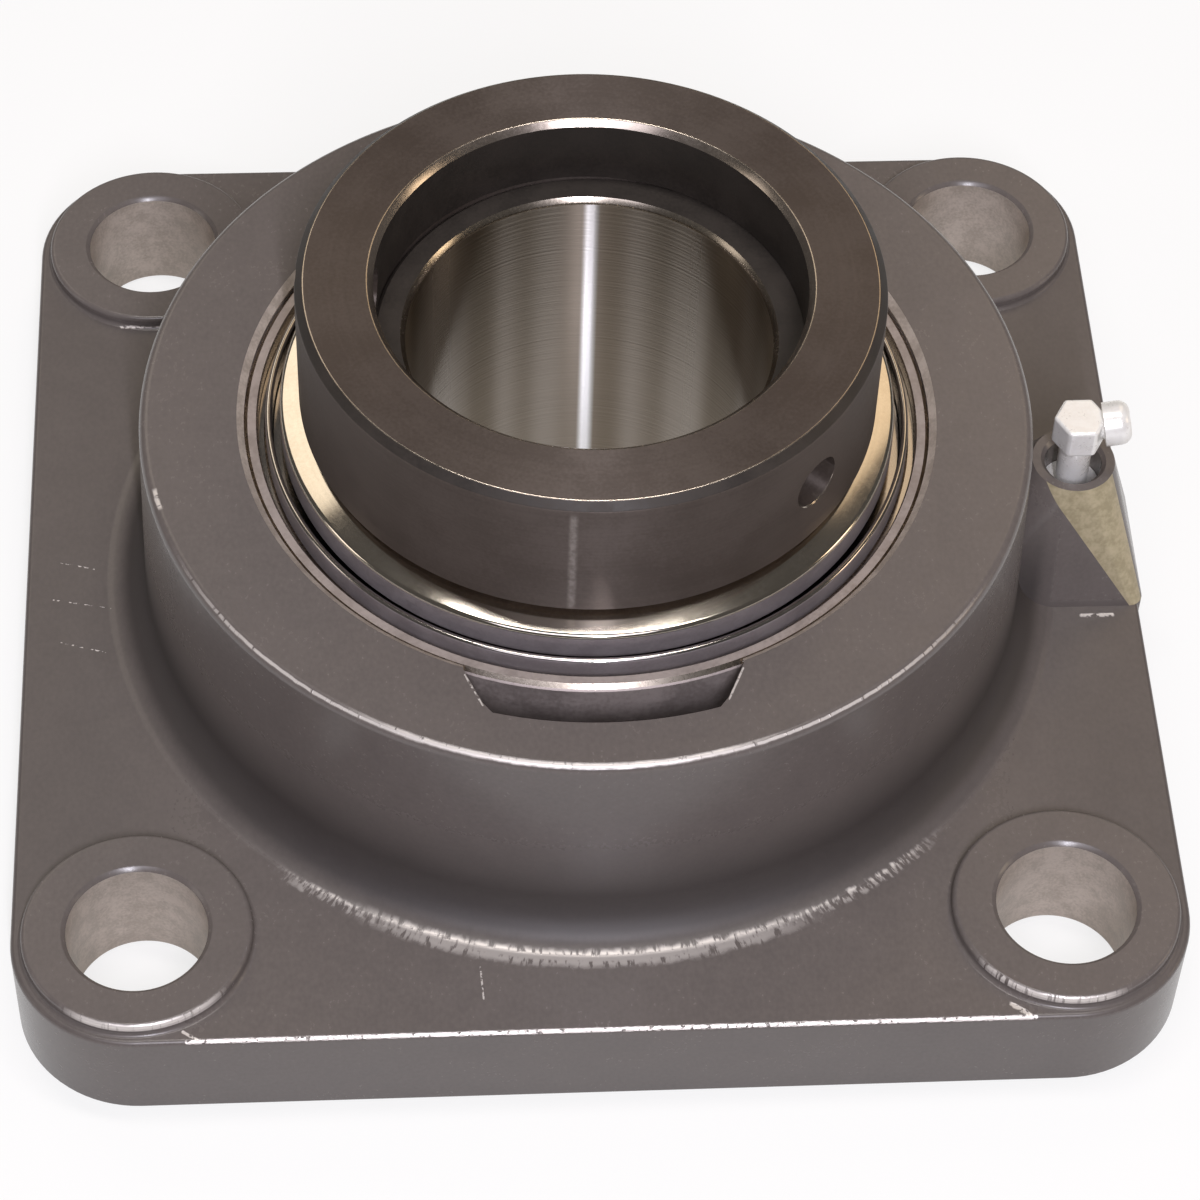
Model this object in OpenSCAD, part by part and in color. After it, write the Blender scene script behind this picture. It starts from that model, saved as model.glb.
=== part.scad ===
// Four-bolt flange bearing: a square cast housing that holds a self-aligning ball
// bearing insert with an eccentric locking collar. Millimetres, +Z along the shaft.
// The origin is the middle of the mounting face, and the grease lug points to +X.

/* [Flange] */
// Width of the square flange
flange_w = 117; // [114:0.5:124]
// Thickness of the flange web
flange_t = 11.6; // [9:0.1:13]
// Radius of the flange's corners
corner_r = 12.5; // [8:0.5:16]
// Distance between bolt hole centres, along each side
bolt_spacing = 92; // [88:0.5:94]
// Diameter of the bolt holes
bolt_hole_d = 14; // [10:0.5:16]
// Diameter of the raised pad round each bolt hole
pad_d = 22.8; // [19:0.2:24]
// Height of the bolt pads above the web
pad_h = 1.45; // [0.5:0.05:3]
// Bevel along the top edge of each bolt pad
pad_bevel = 0.5; // [0.2:0.1:0.8]
// Radius of the fillet at the foot of each bolt pad
pad_fillet = 0.5; // [0.2:0.1:0.6]
// Rounding of the flange's upper edge
flange_round = 0.5; // [0.2:0.1:0.8]

/* [Barrel] */
// Diameter of the barrel at its front face
barrel_d = 90.5; // [87:0.5:92]
// Height of the barrel's face above the mounting face
barrel_h = 36.5; // [36:0.1:39]
// Radius that the barrel gains from its face down to the foot fillet
barrel_draft = 0.6; // [0.3:0.1:2]
// Rounding of the barrel's face edge
face_round = 1; // [0.4:0.1:2]
// Radius of the fillet between barrel and web
foot_fillet = 4.6; // [2:0.2:6]
// Diameter of the rear recess at the mounting face
recess_d = 76; // [72:0.5:80]
// Bevel at the mouth of the rear recess
recess_bevel = 1; // [0.4:0.1:2]
// Width of the bevel where the seat opens in the barrel's face
seat_bevel = 0.9; // [0.3:0.1:1.5]

/* [Loading slots] */
// Width of a loading slot where it leaves the seat
slot_w = 27; // [24:0.5:30]
// Width of a loading slot at its outer wall
slot_outer_w = 23.4; // [20:0.2:24]
// Distance from the shaft axis to a slot's outer wall
slot_reach = 39.7; // [38.5:0.1:41]
// Length of a slot's straight sides inside its slanted corners
slot_straight = 3; // [2:0.1:3.5]

/* [Grease lug] */
// Distance from the barrel's side out to the grease fitting's axis
lug_offset = 5.65; // [5:0.05:6.5]
// Sideways place of the lug's tapped hole
lug_y = 0.5; // [-2:0.1:2]
// Height of the lug's spot face
lug_h = 26; // [24:0.2:28]
// Diameter of the lug's spot face
lug_top_d = 8.6; // [8:0.1:9.5]
// Width of the lug along the flange's edge
lug_base_w = 16.4; // [14:0.2:20]
// How far the lug's base stands out past the flange's edge
lug_bulge = 0.5; // [0.1:0.1:1]
// How far the lug's base reaches into the barrel
lug_root = 6; // [4:0.5:8]
// Diameter of the tapped hole in the lug
lug_thread_d = 6; // [5:0.1:6.4]
// Depth of the tapped hole in the lug
lug_thread_depth = 6.2; // [5:0.1:8]
// Diameter of the drilled passage from the tapped hole to the seat
passage_d = 2.4; // [1.5:0.1:3]

/* [Bearing insert] */
// Diameter of the spherical seat surface of the outer ring
seat_d = 72; // [71.5:0.1:72.4]
// Width of the outer ring
ring_w = 19; // [18:0.1:19.6]
// Height of the bearing's centre above the mounting face
centre_h = 26; // [25.6:0.1:26.6]
// Shaft bore of the inner ring
bore_d = 36.5125; // [34:0.0125:37]
// Diameter of each ball
ball_d = 11.112; // [10.4:0.001:11.2]
// Diameter of the circle of ball centres
pitch_d = 53.5; // [53.2:0.1:53.8]
// Groove radius as a share of the ball diameter
groove_share = 0.52; // [0.51:0.005:0.54]
// Depth of the groove in the inner ring
inner_groove_depth = 2.25; // [1.6:0.05:2.4]
// Depth of the groove in the outer ring
outer_groove_depth = 2; // [1.6:0.05:2.2]
// Height of the inner ring's front end above the mounting face
inner_top = 47.6; // [47:0.1:48]
// Distance from the bearing's centre back to the inner ring's rear end
inner_back = 18.5; // [17:0.1:19.5]
// Bevel at each end of the shaft bore
bore_bevel = 0.5; // [0.4:0.1:1.2]
// Bevel at the outer edges of the rings
ring_bevel = 0.4; // [0.2:0.05:0.6]

/* [Grease path in the insert] */
// Distance from the bearing's centre back to the grease groove
grease_offset = 6; // [5.6:0.1:6.4]
// Width of the grease groove round the outer ring
grease_groove_w = 2.4; // [1.5:0.1:3]
// Depth of the grease groove
grease_groove_depth = 0.6; // [0.3:0.1:0.9]
// Diameter of the holes from the grease groove to the balls
grease_hole_d = 1.6; // [1:0.1:2]

/* [Seals and flingers] */
// Width of the outer ring's end face beside the seal
rim_w = 1.4; // [1:0.1:1.8]
// Depth of the seal's seat below the outer ring's end face
seal_depth = 2.4; // [2:0.1:2.8]
// Sheet thickness of the seal retainer
retainer_t = 0.7; // [0.5:0.05:0.9]
// Width of the dark groove outside the retainer's rolled rim
retainer_gap = 0.8; // [0.5:0.05:1]
// Height of the retainer's rolled rim above the outer ring's face
retainer_rise = 1.1; // [0.4:0.1:1.4]
// Width of the rubber seal lip, from the inner ring to the retainer
lip_w = 2.4; // [2:0.1:3]
// Thickness of the rubber seal lip
lip_t = 1.5; // [1:0.1:1.8]
// Outer diameter of the flinger
flinger_d = 62; // [60:0.2:62.4]
// Sheet thickness of the flinger
flinger_t = 0.7; // [0.5:0.05:0.9]
// Fall of the flinger's conical band from the collar out to its rim
flinger_fall = 0.8; // [0.4:0.1:1]
// Height of the flinger's turned-down rim
flinger_rim = 1.5; // [1:0.1:2]
// Width of the flinger's flat part, outside its hub
flinger_flat = 4.2; // [3.5:0.1:5]
// Length of the flinger's hub along the inner ring
flinger_hub = 3; // [2:0.1:4]

/* [Cage] */
// Sheet thickness of the cage halves
cage_t = 0.9; // [0.6:0.05:1]
// Width of the cage band, across the ring of balls
cage_w = 3.2; // [2.6:0.1:3.4]
// Diameter of the cage rivets
cage_rivet_d = 1.5; // [1:0.1:1.8]
// Height of a cage rivet's head
cage_rivet_head = 0.6; // [0.4:0.05:0.8]

/* [Locking collar] */
// Outer diameter of the collar
collar_d = 58; // [56:0.2:59]
// Height of the collar's front face above the mounting face
collar_top = 55.7; // [55:0.1:57]
// Diameter of the collar's bore round the shaft
collar_bore_d = 42.6; // [40:0.1:43]
// Bevel at the collar's front rim, twice the one at its rear rim
collar_bevel = 0.8; // [0.5:0.05:1.2]
// Bevel where the collar's bore opens in its front face
mouth_bevel = 0.6; // [0.3:0.05:1]
// Distance by which the collar's seat is off the shaft axis
eccentricity = 0.9; // [0.6:0.05:1]
// Diameter of the eccentric land on the inner ring
land_d = 44.4; // [44:0.1:44.6]
// Length of the eccentric land on the inner ring
land_len = 7.7; // [7:0.1:8.2]
// Diameter of the blind drift hole in the collar's rim
drift_hole_d = 5.6; // [4:0.1:6]
// Depth of the drift hole
drift_hole_depth = 3.2; // [2:0.1:3.4]
// Direction of the drift hole, in degrees
drift_angle = -43.7; // [-60:0.1:-30]
// Angle from the drift hole to the set screw, in degrees
screw_angle = -140; // [-150:1:-120]
// Diameter of the set screw
screw_d = 6; // [4:0.5:6.5]
// Length of the set screw
screw_len = 6; // [5:0.1:6.2]
// Depth of the set screw's outer end below the collar's rim
screw_recess = 1.2; // [0.8:0.1:1.4]
// Width across the flats of the set screw's socket
screw_socket_w = 3; // [2:0.5:3]
// Depth of the set screw's socket
screw_socket_depth = 2.6; // [2:0.1:3]

/* [Grease fitting] */
// Diameter of the fitting's neck
neck_d = 4; // [3:0.1:4.4]
// Height of the fitting's neck above the spot face
neck_h = 2.4; // [1.6:0.1:3]
// Width across the flats of the fitting's elbow body
elbow_w = 5.2; // [5:0.1:6]
// Height of the fitting's elbow body
elbow_h = 4.8; // [4.4:0.1:5.4]
// Tilt of the fitting's head above level, in degrees
head_tilt = 20; // [10:1:35]
// Distance from the elbow's axis to the tip of the head
head_len = 6.4; // [6.2:0.1:7]
// Largest diameter of the head
head_d = 4.6; // [4.4:0.1:5.4]
// Diameter of the waist behind the head
waist_d = 3.4; // [3.2:0.1:3.8]
// Bore inside the fitting's head
head_bore_d = 2.2; // [2:0.1:2.4]
// Diameter of the mouth at the head's tip
mouth_d = 1.4; // [1.2:0.1:1.6]
// Diameter of the check ball
check_ball_d = 1.9; // [1.8:0.05:2]
// Wire diameter of the check spring
spring_wire_d = 0.3; // [0.2:0.05:0.35]
// Turns of the check spring
spring_turns = 4; // [3:1:5]

/* [Fits] */
// Gap between the outer ring and the housing's seat
seat_clear = 0.05; // [0.02:0.01:0.1]
// Gap between a ball and the bottom of its grooves
ball_clear = 0.05; // [0.02:0.01:0.1]
// Gap between a ball and its cage pocket
pocket_clear = 0.3; // [0.2:0.05:0.4]
// Gap between pieces pressed together on one ring
press_clear = 0.05; // [0.02:0.01:0.1]
// Gap between the collar and the inner ring's land, all round
collar_clear = 0.3; // [0.2:0.05:0.35]
// Gap between running faces, along the shaft
axial_clear = 0.3; // [0.2:0.05:0.4]
// Gap round the set screw in its hole
screw_clear = 0.05; // [0.02:0.01:0.1]
// Gap between the check spring and its bore and ball
spring_clear = 0.1; // [0.05:0.01:0.12]
// Gap between each seal lip and the inner ring
lip_clear = 0.3; // [0.2:0.05:0.4]

/* [Hidden] */
$fn = 96;
ball_count = 9;
cut = 1; // how far each cut runs past the surface that it opens
hull_facets = 32;

// Bearing insert
seat_r = seat_d / 2;
ball_r = ball_d / 2;
pitch_r = pitch_d / 2;
groove_r = ball_d * groove_share;
inner_land_r = pitch_r - ball_r - ball_clear + inner_groove_depth;
outer_land_r = pitch_r + ball_r + ball_clear - outer_groove_depth;
inner_groove_at = pitch_r - ball_r - ball_clear + groove_r;
outer_groove_at = pitch_r + ball_r + ball_clear - groove_r;
half_ring = ring_w / 2;
ring_face_r = sqrt(seat_r * seat_r - half_ring * half_ring);
seal_r = ring_face_r - rim_w;
seal_floor = half_ring - seal_depth;
retainer_r = seal_r - press_clear;
rim_outer_r = seal_r - retainer_gap;
lip_inner_r = inner_land_r + lip_clear;
lip_outer_r = lip_inner_r + lip_w;

// Lug
lug_x = barrel_d / 2 + lug_offset;

// Heights above the bearing's centre, the same to the front and to the rear
collar_bottom = inner_top - land_len;
shoulder_top = collar_bottom - axial_clear;
flinger_top = shoulder_top - centre_h - axial_clear;
flinger_r = flinger_d / 2;
flat_r = inner_land_r + flinger_flat;

// Collar
collar_r = collar_d / 2;
land_r = land_d / 2;
socket_top = inner_top + axial_clear;
screw_z = (socket_top + collar_top) / 2;
screw_hole_r = screw_d / 2 + screw_clear;
screw_tip = collar_r - screw_recess - screw_len;
thick_side = drift_angle;

// Grease path
grease_z = centre_h - grease_offset;
grease_r = sqrt(seat_r * seat_r - grease_offset * grease_offset);
thread_floor = lug_h - lug_thread_depth;
elbow_z = lug_h + neck_h;
head_z = elbow_z + elbow_h * 0.5;
ball_at = head_len - 1.2;
hex_ratio = cos(30);

// Points of an arc, from angle a to angle b
function arc(x, y, r, a, b, steps = 8) =
    [for (i = [0:steps]) let (t = a + (b - a) * i / steps) [x + r * cos(t), y + r * sin(t)]];

// Direction of a ball seen from the shaft axis
function ball_angle(n) = 90 + 360 / ball_count * (n - 1);

// A ring turned from a profile of [radius, height] points
module turned(points) {
    rotate_extrude() polygon(points);
}

// The pieces at the rear are the front ones turned over at the bearing's centre
module front() {
    translate([0, 0, centre_h]) children();
}
module rear() {
    translate([0, 0, centre_h]) rotate([180, 0, 0]) children();
}

// Housing
module flange_plate() {
    straight = flange_w - 2 * corner_r;
    rim = concat(
        [[0, 0], [corner_r, 0]],
        arc(corner_r - flange_round, flange_t - flange_round, flange_round, 0, 90, 3),
        [[0, flange_t]]
    );
    translate([-straight / 2, -straight / 2, 0]) cube([straight, straight, flange_t]);
    for (side = [0:3]) rotate([0, 0, 90 * side]) translate([straight / 2, straight / 2, 0]) {
        turned(rim);
        rotate([90, 0, 0]) linear_extrude(straight) polygon(rim);
    }
}

module bolt_pad() {
    skirt_r = pad_d / 2 + pad_fillet;
    turned(concat(
        [[0, flange_t / 2], [skirt_r, flange_t / 2]],
        arc(skirt_r, flange_t + pad_fillet, pad_fillet, 270, 180, 3),
        [
            [pad_d / 2, flange_t + pad_h - pad_bevel],
            [pad_d / 2 - pad_bevel, flange_t + pad_h],
            [0, flange_t + pad_h]
        ]
    ));
}

module barrel() {
    face_r = barrel_d / 2;
    foot_r = face_r + barrel_draft;
    turned(concat(
        [[0, 0], [foot_r + foot_fillet, 0]],
        arc(foot_r + foot_fillet, flange_t + foot_fillet, foot_fillet, 270, 180),
        arc(face_r - face_round, barrel_h - face_round, face_round, 0, 90, 5),
        [[0, barrel_h]]
    ));
}

module grease_lug() {
    outer_x = flange_w / 2 + lug_bulge;
    base_round = 1.5;
    hull() {
        translate([lug_x, lug_y, lug_h - cut])
            cylinder(d = lug_top_d, h = cut, $fn = hull_facets);
        for (side = [-1, 1], x = [barrel_d / 2 - lug_root, outer_x - base_round])
            translate([x, lug_y + side * (lug_base_w / 2 - base_round), flange_t / 2])
                cylinder(r = base_round, h = flange_t / 2, $fn = hull_facets);
    }
}

module seat_cavity() {
    mouth_r = recess_d / 2;
    front_r = sqrt(pow(seat_r + seat_clear, 2) - pow(barrel_h - centre_h, 2));
    rear_z = centre_h - half_ring - 1;
    rear_r = sqrt(pow(seat_r + seat_clear, 2) - pow(centre_h - rear_z, 2)) - 0.05;
    front() sphere(r = seat_r + seat_clear);
    turned([
        [0, -cut], [mouth_r + cut, -cut], [mouth_r, 0], [mouth_r - recess_bevel, recess_bevel],
        [rear_r, rear_z], [0, rear_z]
    ]);
    turned([
        [0, barrel_h - seat_bevel], [front_r, barrel_h - seat_bevel],
        [front_r + seat_bevel, barrel_h], [front_r + seat_bevel + cut, barrel_h + cut],
        [0, barrel_h + cut]
    ]);
}

module loading_slots() {
    inner_y = seat_r - slot_straight * 2;
    bend_y = inner_y + slot_straight;
    translate([0, 0, centre_h]) linear_extrude(barrel_h - centre_h + cut) intersection() {
        circle(r = slot_reach);
        for (side = [-1, 1]) polygon([
            [-slot_w / 2, side * inner_y], [slot_w / 2, side * inner_y],
            [slot_w / 2, side * bend_y], [slot_outer_w / 2, side * slot_reach],
            [-slot_outer_w / 2, side * slot_reach], [-slot_w / 2, side * bend_y]
        ]);
    }
}

module grease_passage() {
    rise = thread_floor + 2 - grease_z;
    run = lug_x - grease_r;
    translate([lug_x, lug_y, thread_floor])
        cylinder(d = lug_thread_d, h = lug_thread_depth + cut);
    translate([grease_r - cut * 2, lug_y, grease_z - cut * 2 * rise / run])
        rotate([0, atan2(run, rise), 0])
            cylinder(d = passage_d, h = norm([run, rise]) + cut * 2);
}

module housing() {
    color("dimgray") difference() {
        union() {
            flange_plate();
            barrel();
            grease_lug();
            for (sx = [-1, 1], sy = [-1, 1])
                translate([sx * bolt_spacing / 2, sy * bolt_spacing / 2, 0]) bolt_pad();
        }
        seat_cavity();
        loading_slots();
        grease_passage();
        for (sx = [-1, 1], sy = [-1, 1])
            translate([sx * bolt_spacing / 2, sy * bolt_spacing / 2, -cut])
                cylinder(d = bolt_hole_d, h = flange_t + pad_h + 2 * cut);
    }
}

// Grease fitting, with its head tilted outwards
module along_head() {
    translate([lug_x, lug_y, head_z]) rotate([0, 90 - head_tilt, 0]) children();
}

module grease_fitting() {
    shank_r = lug_thread_d / 2 - press_clear;
    body_bottom = lug_h + 0.02;
    color("gainsboro") difference() {
        union() {
            translate([lug_x, lug_y, 0]) turned([
                [0, thread_floor + axial_clear], [shank_r - 0.6, thread_floor + axial_clear],
                [shank_r, thread_floor + 0.6 + axial_clear], [shank_r, body_bottom - 0.4],
                [neck_d / 2, body_bottom], [neck_d / 2, elbow_z + 0.2], [0, elbow_z + 0.2]
            ]);
            translate([lug_x, lug_y, elbow_z])
                cylinder(d = elbow_w / hex_ratio, h = elbow_h, $fn = 6);
            along_head() turned([
                [0, 0], [waist_d / 2, 0], [waist_d / 2, head_len - 2.3],
                [head_d / 2, head_len - 1.6], [head_d / 2, head_len - 1.1],
                [head_d / 2 - 0.8, head_len], [0, head_len]
            ]);
        }
        translate([lug_x, lug_y, thread_floor]) cylinder(d = mouth_d, h = head_z - thread_floor);
        along_head() cylinder(d = head_bore_d, h = ball_at + 0.2);
        along_head() cylinder(d = mouth_d, h = head_len + cut);
    }
}

module check_ball() {
    color("silver") along_head() translate([0, 0, ball_at - check_ball_d / 2])
        sphere(d = check_ball_d);
}

// The check spring is a helix of wire, swept as a tube of six sides
function helix(turns, r, pitch, steps) = [for (i = [0:turns * steps])
    let (t = 360 * i / steps) [r * cos(t), r * sin(t), pitch * i / steps]];

module check_spring() {
    steps = 12;
    sides = 6;
    wire_r = spring_wire_d / 2;
    coil_r = head_bore_d / 2 - wire_r - spring_clear;
    seat = spring_wire_d;
    coil_len = ball_at - check_ball_d - seat - wire_r - spring_clear;
    pitch = coil_len / spring_turns;
    line = helix(spring_turns, coil_r, pitch, steps);
    last = len(line) - 1;
    points = [for (i = [0:last]) for (k = [0:sides - 1])
        let (turn = 360 * i / steps, s = 360 * k / sides)
        line[i] + [wire_r * cos(s) * cos(turn), wire_r * cos(s) * sin(turn), wire_r * sin(s)]];
    walls = [for (i = [0:last - 1]) for (k = [0:sides - 1])
        let (a = i * sides + k, b = i * sides + (k + 1) % sides)
        [a, b, b + sides, a + sides]];
    caps = [[for (k = [sides - 1:-1:0]) k], [for (k = [0:sides - 1]) last * sides + k]];
    color("silver") along_head() translate([0, 0, seat])
        polyhedron(points, concat(walls, caps));
}

// Rings of the insert
module ball_groove(at) {
    translate([0, 0, centre_h]) rotate_extrude() translate([at, 0]) circle(r = groove_r);
}

module outer_ring() {
    color("lightgray") difference() {
        intersection() {
            front() sphere(r = seat_r);
            translate([0, 0, centre_h - half_ring]) turned([
                [0, 0], [ring_face_r - ring_bevel, 0], [ring_face_r, ring_bevel],
                [seat_r + cut, ring_bevel], [seat_r + cut, ring_w - ring_bevel],
                [ring_face_r, ring_w - ring_bevel], [ring_face_r - ring_bevel, ring_w], [0, ring_w]
            ]);
        }
        translate([0, 0, centre_h - half_ring - cut])
            cylinder(r = outer_land_r, h = ring_w + 2 * cut);
        front() translate([0, 0, seal_floor]) cylinder(r = seal_r, h = seal_depth + cut);
        rear() translate([0, 0, seal_floor]) cylinder(r = seal_r, h = seal_depth + cut);
        ball_groove(outer_groove_at);
        translate([0, 0, grease_z - grease_groove_w / 2]) difference() {
            cylinder(r = seat_r + cut, h = grease_groove_w);
            translate([0, 0, -cut])
                cylinder(r = grease_r - grease_groove_depth, h = grease_groove_w + 2 * cut);
        }
        for (turn = [0, 180]) rotate([0, 0, turn]) translate([0, 0, grease_z])
            rotate([0, 90, 0]) cylinder(d = grease_hole_d, h = seat_r);
    }
}

module inner_ring() {
    back = centre_h - inner_back;
    bore_r = bore_d / 2;
    color("silver") difference() {
        union() {
            turned([
                [0, back], [inner_land_r - ring_bevel, back], [inner_land_r, back + ring_bevel],
                [inner_land_r, shoulder_top - ring_bevel],
                [inner_land_r - ring_bevel, shoulder_top], [0, shoulder_top]
            ]);
            rotate([0, 0, thick_side]) translate([eccentricity, 0, 0]) turned([
                [0, shoulder_top - cut], [land_r, shoulder_top - cut],
                [land_r, inner_top - ring_bevel], [land_r - ring_bevel, inner_top], [0, inner_top]
            ]);
        }
        translate([0, 0, back - cut]) cylinder(r = bore_r, h = inner_top - back + 2 * cut);
        turned([
            [0, inner_top - bore_bevel], [bore_r, inner_top - bore_bevel],
            [bore_r + bore_bevel, inner_top], [bore_r + bore_bevel + cut, inner_top + cut],
            [0, inner_top + cut]
        ]);
        turned([
            [0, back - cut], [bore_r + bore_bevel + cut, back - cut],
            [bore_r + bore_bevel, back], [bore_r, back + bore_bevel], [0, back + bore_bevel]
        ]);
        ball_groove(inner_groove_at);
    }
}

// Seals: a steel retainer pressed in the outer ring, and a rubber lip bonded inside it
module seal_retainer() {
    base = seal_floor + press_clear;
    rim_top = half_ring + retainer_rise;
    color("lightgray") turned([
        [lip_outer_r, base], [retainer_r, base], [retainer_r, base + retainer_t],
        [rim_outer_r, base + retainer_t], [rim_outer_r, rim_top],
        [rim_outer_r - retainer_t, rim_top], [rim_outer_r - retainer_t, base + retainer_t],
        [lip_outer_r, base + retainer_t]
    ]);
}

module seal_lip() {
    base = seal_floor + press_clear - 0.3;
    color("black") turned([
        [lip_outer_r, base], [lip_outer_r, base + lip_t],
        [lip_inner_r + lip_w * 0.4, base + lip_t], [lip_inner_r, base + lip_t * 0.8],
        [lip_inner_r, base + lip_t * 0.5], [lip_inner_r + lip_w * 0.3, base]
    ]);
}

// Flinger: a pressed cover on the inner ring, whose rim turns down over the seal
module flinger() {
    hub_r = inner_land_r + press_clear;
    band_low = flinger_top - flinger_fall;
    color("lightsteelblue") turned([
        [hub_r, flinger_top - flinger_hub], [hub_r, flinger_top], [flat_r, flinger_top],
        [flinger_r - 0.4, band_low], [flinger_r, band_low - 0.4],
        [flinger_r, band_low - flinger_rim], [flinger_r - flinger_t, band_low - flinger_rim],
        [flinger_r - flinger_t, band_low - 0.4 - flinger_t / 2],
        [flat_r - 0.1, flinger_top - flinger_t],
        [hub_r + flinger_t, flinger_top - flinger_t], [hub_r + flinger_t, flinger_top - flinger_hub]
    ]);
}

// Cage: two pressed halves, each with a round pocket over every ball
module cage_half() {
    inner_r = pitch_r - cage_w / 2;
    outer_r = pitch_r + cage_w / 2;
    pocket_r = ball_r + pocket_clear;
    color("burlywood") difference() {
        union() {
            translate([0, 0, 0.02]) cylinder(r = outer_r, h = cage_t);
            intersection() {
                for (n = [1:ball_count]) rotate([0, 0, ball_angle(n)])
                    translate([pitch_r, 0, 0]) sphere(r = pocket_r + cage_t);
                translate([0, 0, 0.02]) cylinder(r = outer_r, h = ball_d);
            }
        }
        translate([0, 0, -cut]) cylinder(r = inner_r, h = ball_d + 2 * cut);
        for (n = [1:ball_count]) rotate([0, 0, ball_angle(n)])
            translate([pitch_r, 0, 0]) sphere(r = pocket_r);
        for (n = [1:ball_count]) rotate([0, 0, ball_angle(n + 0.5)])
            translate([pitch_r, 0, -cut])
                cylinder(d = cage_rivet_d + 2 * press_clear, h = cage_t + 2 * cut);
    }
}

module cage_rivets() {
    grip = cage_t + 0.04;
    head_r = cage_rivet_d * 0.8;
    color("silver") for (n = [1:ball_count]) rotate([0, 0, ball_angle(n + 0.5)])
        translate([pitch_r, 0, centre_h]) turned([
            [0, -grip - cage_rivet_head], [head_r * 0.6, -grip - cage_rivet_head],
            [head_r, -grip - cage_rivet_head * 0.4], [head_r, -grip],
            [cage_rivet_d / 2, -grip], [cage_rivet_d / 2, grip], [head_r, grip],
            [head_r, grip + cage_rivet_head * 0.4], [head_r * 0.6, grip + cage_rivet_head],
            [0, grip + cage_rivet_head]
        ]);
}

module ball(n) {
    color("whitesmoke") rotate([0, 0, ball_angle(n)])
        translate([pitch_r, 0, centre_h]) sphere(r = ball_r);
}

// Locking collar: its eccentric socket wedges on the inner ring's land when it is turned
module locking_collar() {
    socket_r = land_r + collar_clear;
    color("darkolivegreen") difference() {
        turned([
            [0, collar_bottom], [collar_r - collar_bevel / 2, collar_bottom],
            [collar_r, collar_bottom + collar_bevel / 2], [collar_r, collar_top - collar_bevel],
            [collar_r - collar_bevel, collar_top], [0, collar_top]
        ]);
        translate([0, 0, collar_bottom - cut])
            cylinder(d = collar_bore_d, h = collar_top - collar_bottom + 2 * cut);
        rotate([0, 0, thick_side]) translate([eccentricity, 0, collar_bottom - cut])
            cylinder(r = socket_r, h = socket_top - collar_bottom + cut);
        turned([
            [0, collar_top - mouth_bevel], [collar_bore_d / 2, collar_top - mouth_bevel],
            [collar_bore_d / 2 + mouth_bevel, collar_top],
            [collar_bore_d / 2 + mouth_bevel + cut, collar_top + cut], [0, collar_top + cut]
        ]);
        rotate([0, 0, drift_angle])
            translate([collar_r - drift_hole_depth, 0, (collar_bottom + collar_top) / 2])
                rotate([0, 90, 0]) cylinder(d = drift_hole_d, h = drift_hole_depth + cut);
        rotate([0, 0, drift_angle + screw_angle]) translate([collar_bore_d / 2 - cut * 2, 0, screw_z])
            rotate([0, 90, 0]) cylinder(r = screw_hole_r, h = collar_r);
    }
}

module set_screw() {
    point = 0.8;
    color("dimgray") rotate([0, 0, drift_angle + screw_angle])
        translate([screw_tip, 0, screw_z]) rotate([0, 90, 0]) difference() {
            turned([
                [0, 0], [screw_d / 2 - point, 0], [screw_d / 2, point],
                [screw_d / 2, screw_len - point / 2], [screw_d / 2 - point / 2, screw_len],
                [0, screw_len]
            ]);
            translate([0, 0, screw_len - screw_socket_depth])
                cylinder(d = screw_socket_w / hex_ratio, h = screw_socket_depth + cut, $fn = 6);
        }
}

module front_seal_retainer() { front() seal_retainer(); }
module rear_seal_retainer() { rear() seal_retainer(); }
module front_seal_lip() { front() seal_lip(); }
module rear_seal_lip() { rear() seal_lip(); }
module front_flinger() { front() flinger(); }
module rear_flinger() { rear() flinger(); }
module front_cage_half() { front() cage_half(); }
module rear_cage_half() { translate([0, 0, centre_h]) mirror([0, 0, 1]) cage_half(); }

housing();
grease_fitting();
check_ball();
check_spring();
outer_ring();
front_seal_retainer();
front_seal_lip();
rear_seal_retainer();
rear_seal_lip();
inner_ring();
front_flinger();
rear_flinger();
front_cage_half();
rear_cage_half();
cage_rivets();
ball(1);  // ball_1
ball(2);  // ball_2
ball(3);  // ball_3
ball(4);  // ball_4
ball(5);  // ball_5
ball(6);  // ball_6
ball(7);  // ball_7
ball(8);  // ball_8
ball(9);  // ball_9
locking_collar();
set_screw();
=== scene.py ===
"""Four-bolt flange bearing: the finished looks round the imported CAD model.

Sizes in the classes are millimetres, and MM turns them to metres. Every piece is shaped in edit
mode from a primitive, stays at the CAD's own place, and rides on the CAD body that carries it.
"""

import logging
import math
from contextlib import contextmanager
from dataclasses import dataclass
from enum import Enum
from functools import cached_property, reduce
from typing import Callable, Iterable, Iterator, Sequence

import bpy
from mathutils import Matrix, Vector


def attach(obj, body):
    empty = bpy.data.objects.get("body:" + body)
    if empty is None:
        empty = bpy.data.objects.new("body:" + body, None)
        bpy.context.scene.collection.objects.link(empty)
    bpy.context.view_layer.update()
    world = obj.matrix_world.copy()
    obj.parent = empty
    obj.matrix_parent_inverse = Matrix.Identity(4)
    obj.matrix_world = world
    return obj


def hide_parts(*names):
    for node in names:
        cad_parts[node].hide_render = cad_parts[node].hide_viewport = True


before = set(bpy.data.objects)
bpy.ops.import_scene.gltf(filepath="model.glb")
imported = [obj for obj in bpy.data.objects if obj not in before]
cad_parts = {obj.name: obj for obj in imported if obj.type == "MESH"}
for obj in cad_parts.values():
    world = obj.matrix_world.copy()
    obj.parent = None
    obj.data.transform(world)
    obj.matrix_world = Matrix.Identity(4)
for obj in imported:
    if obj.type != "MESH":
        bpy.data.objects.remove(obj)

MM = 0.001
Point = tuple[float, float]
Place = tuple[float, float, float]
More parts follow.
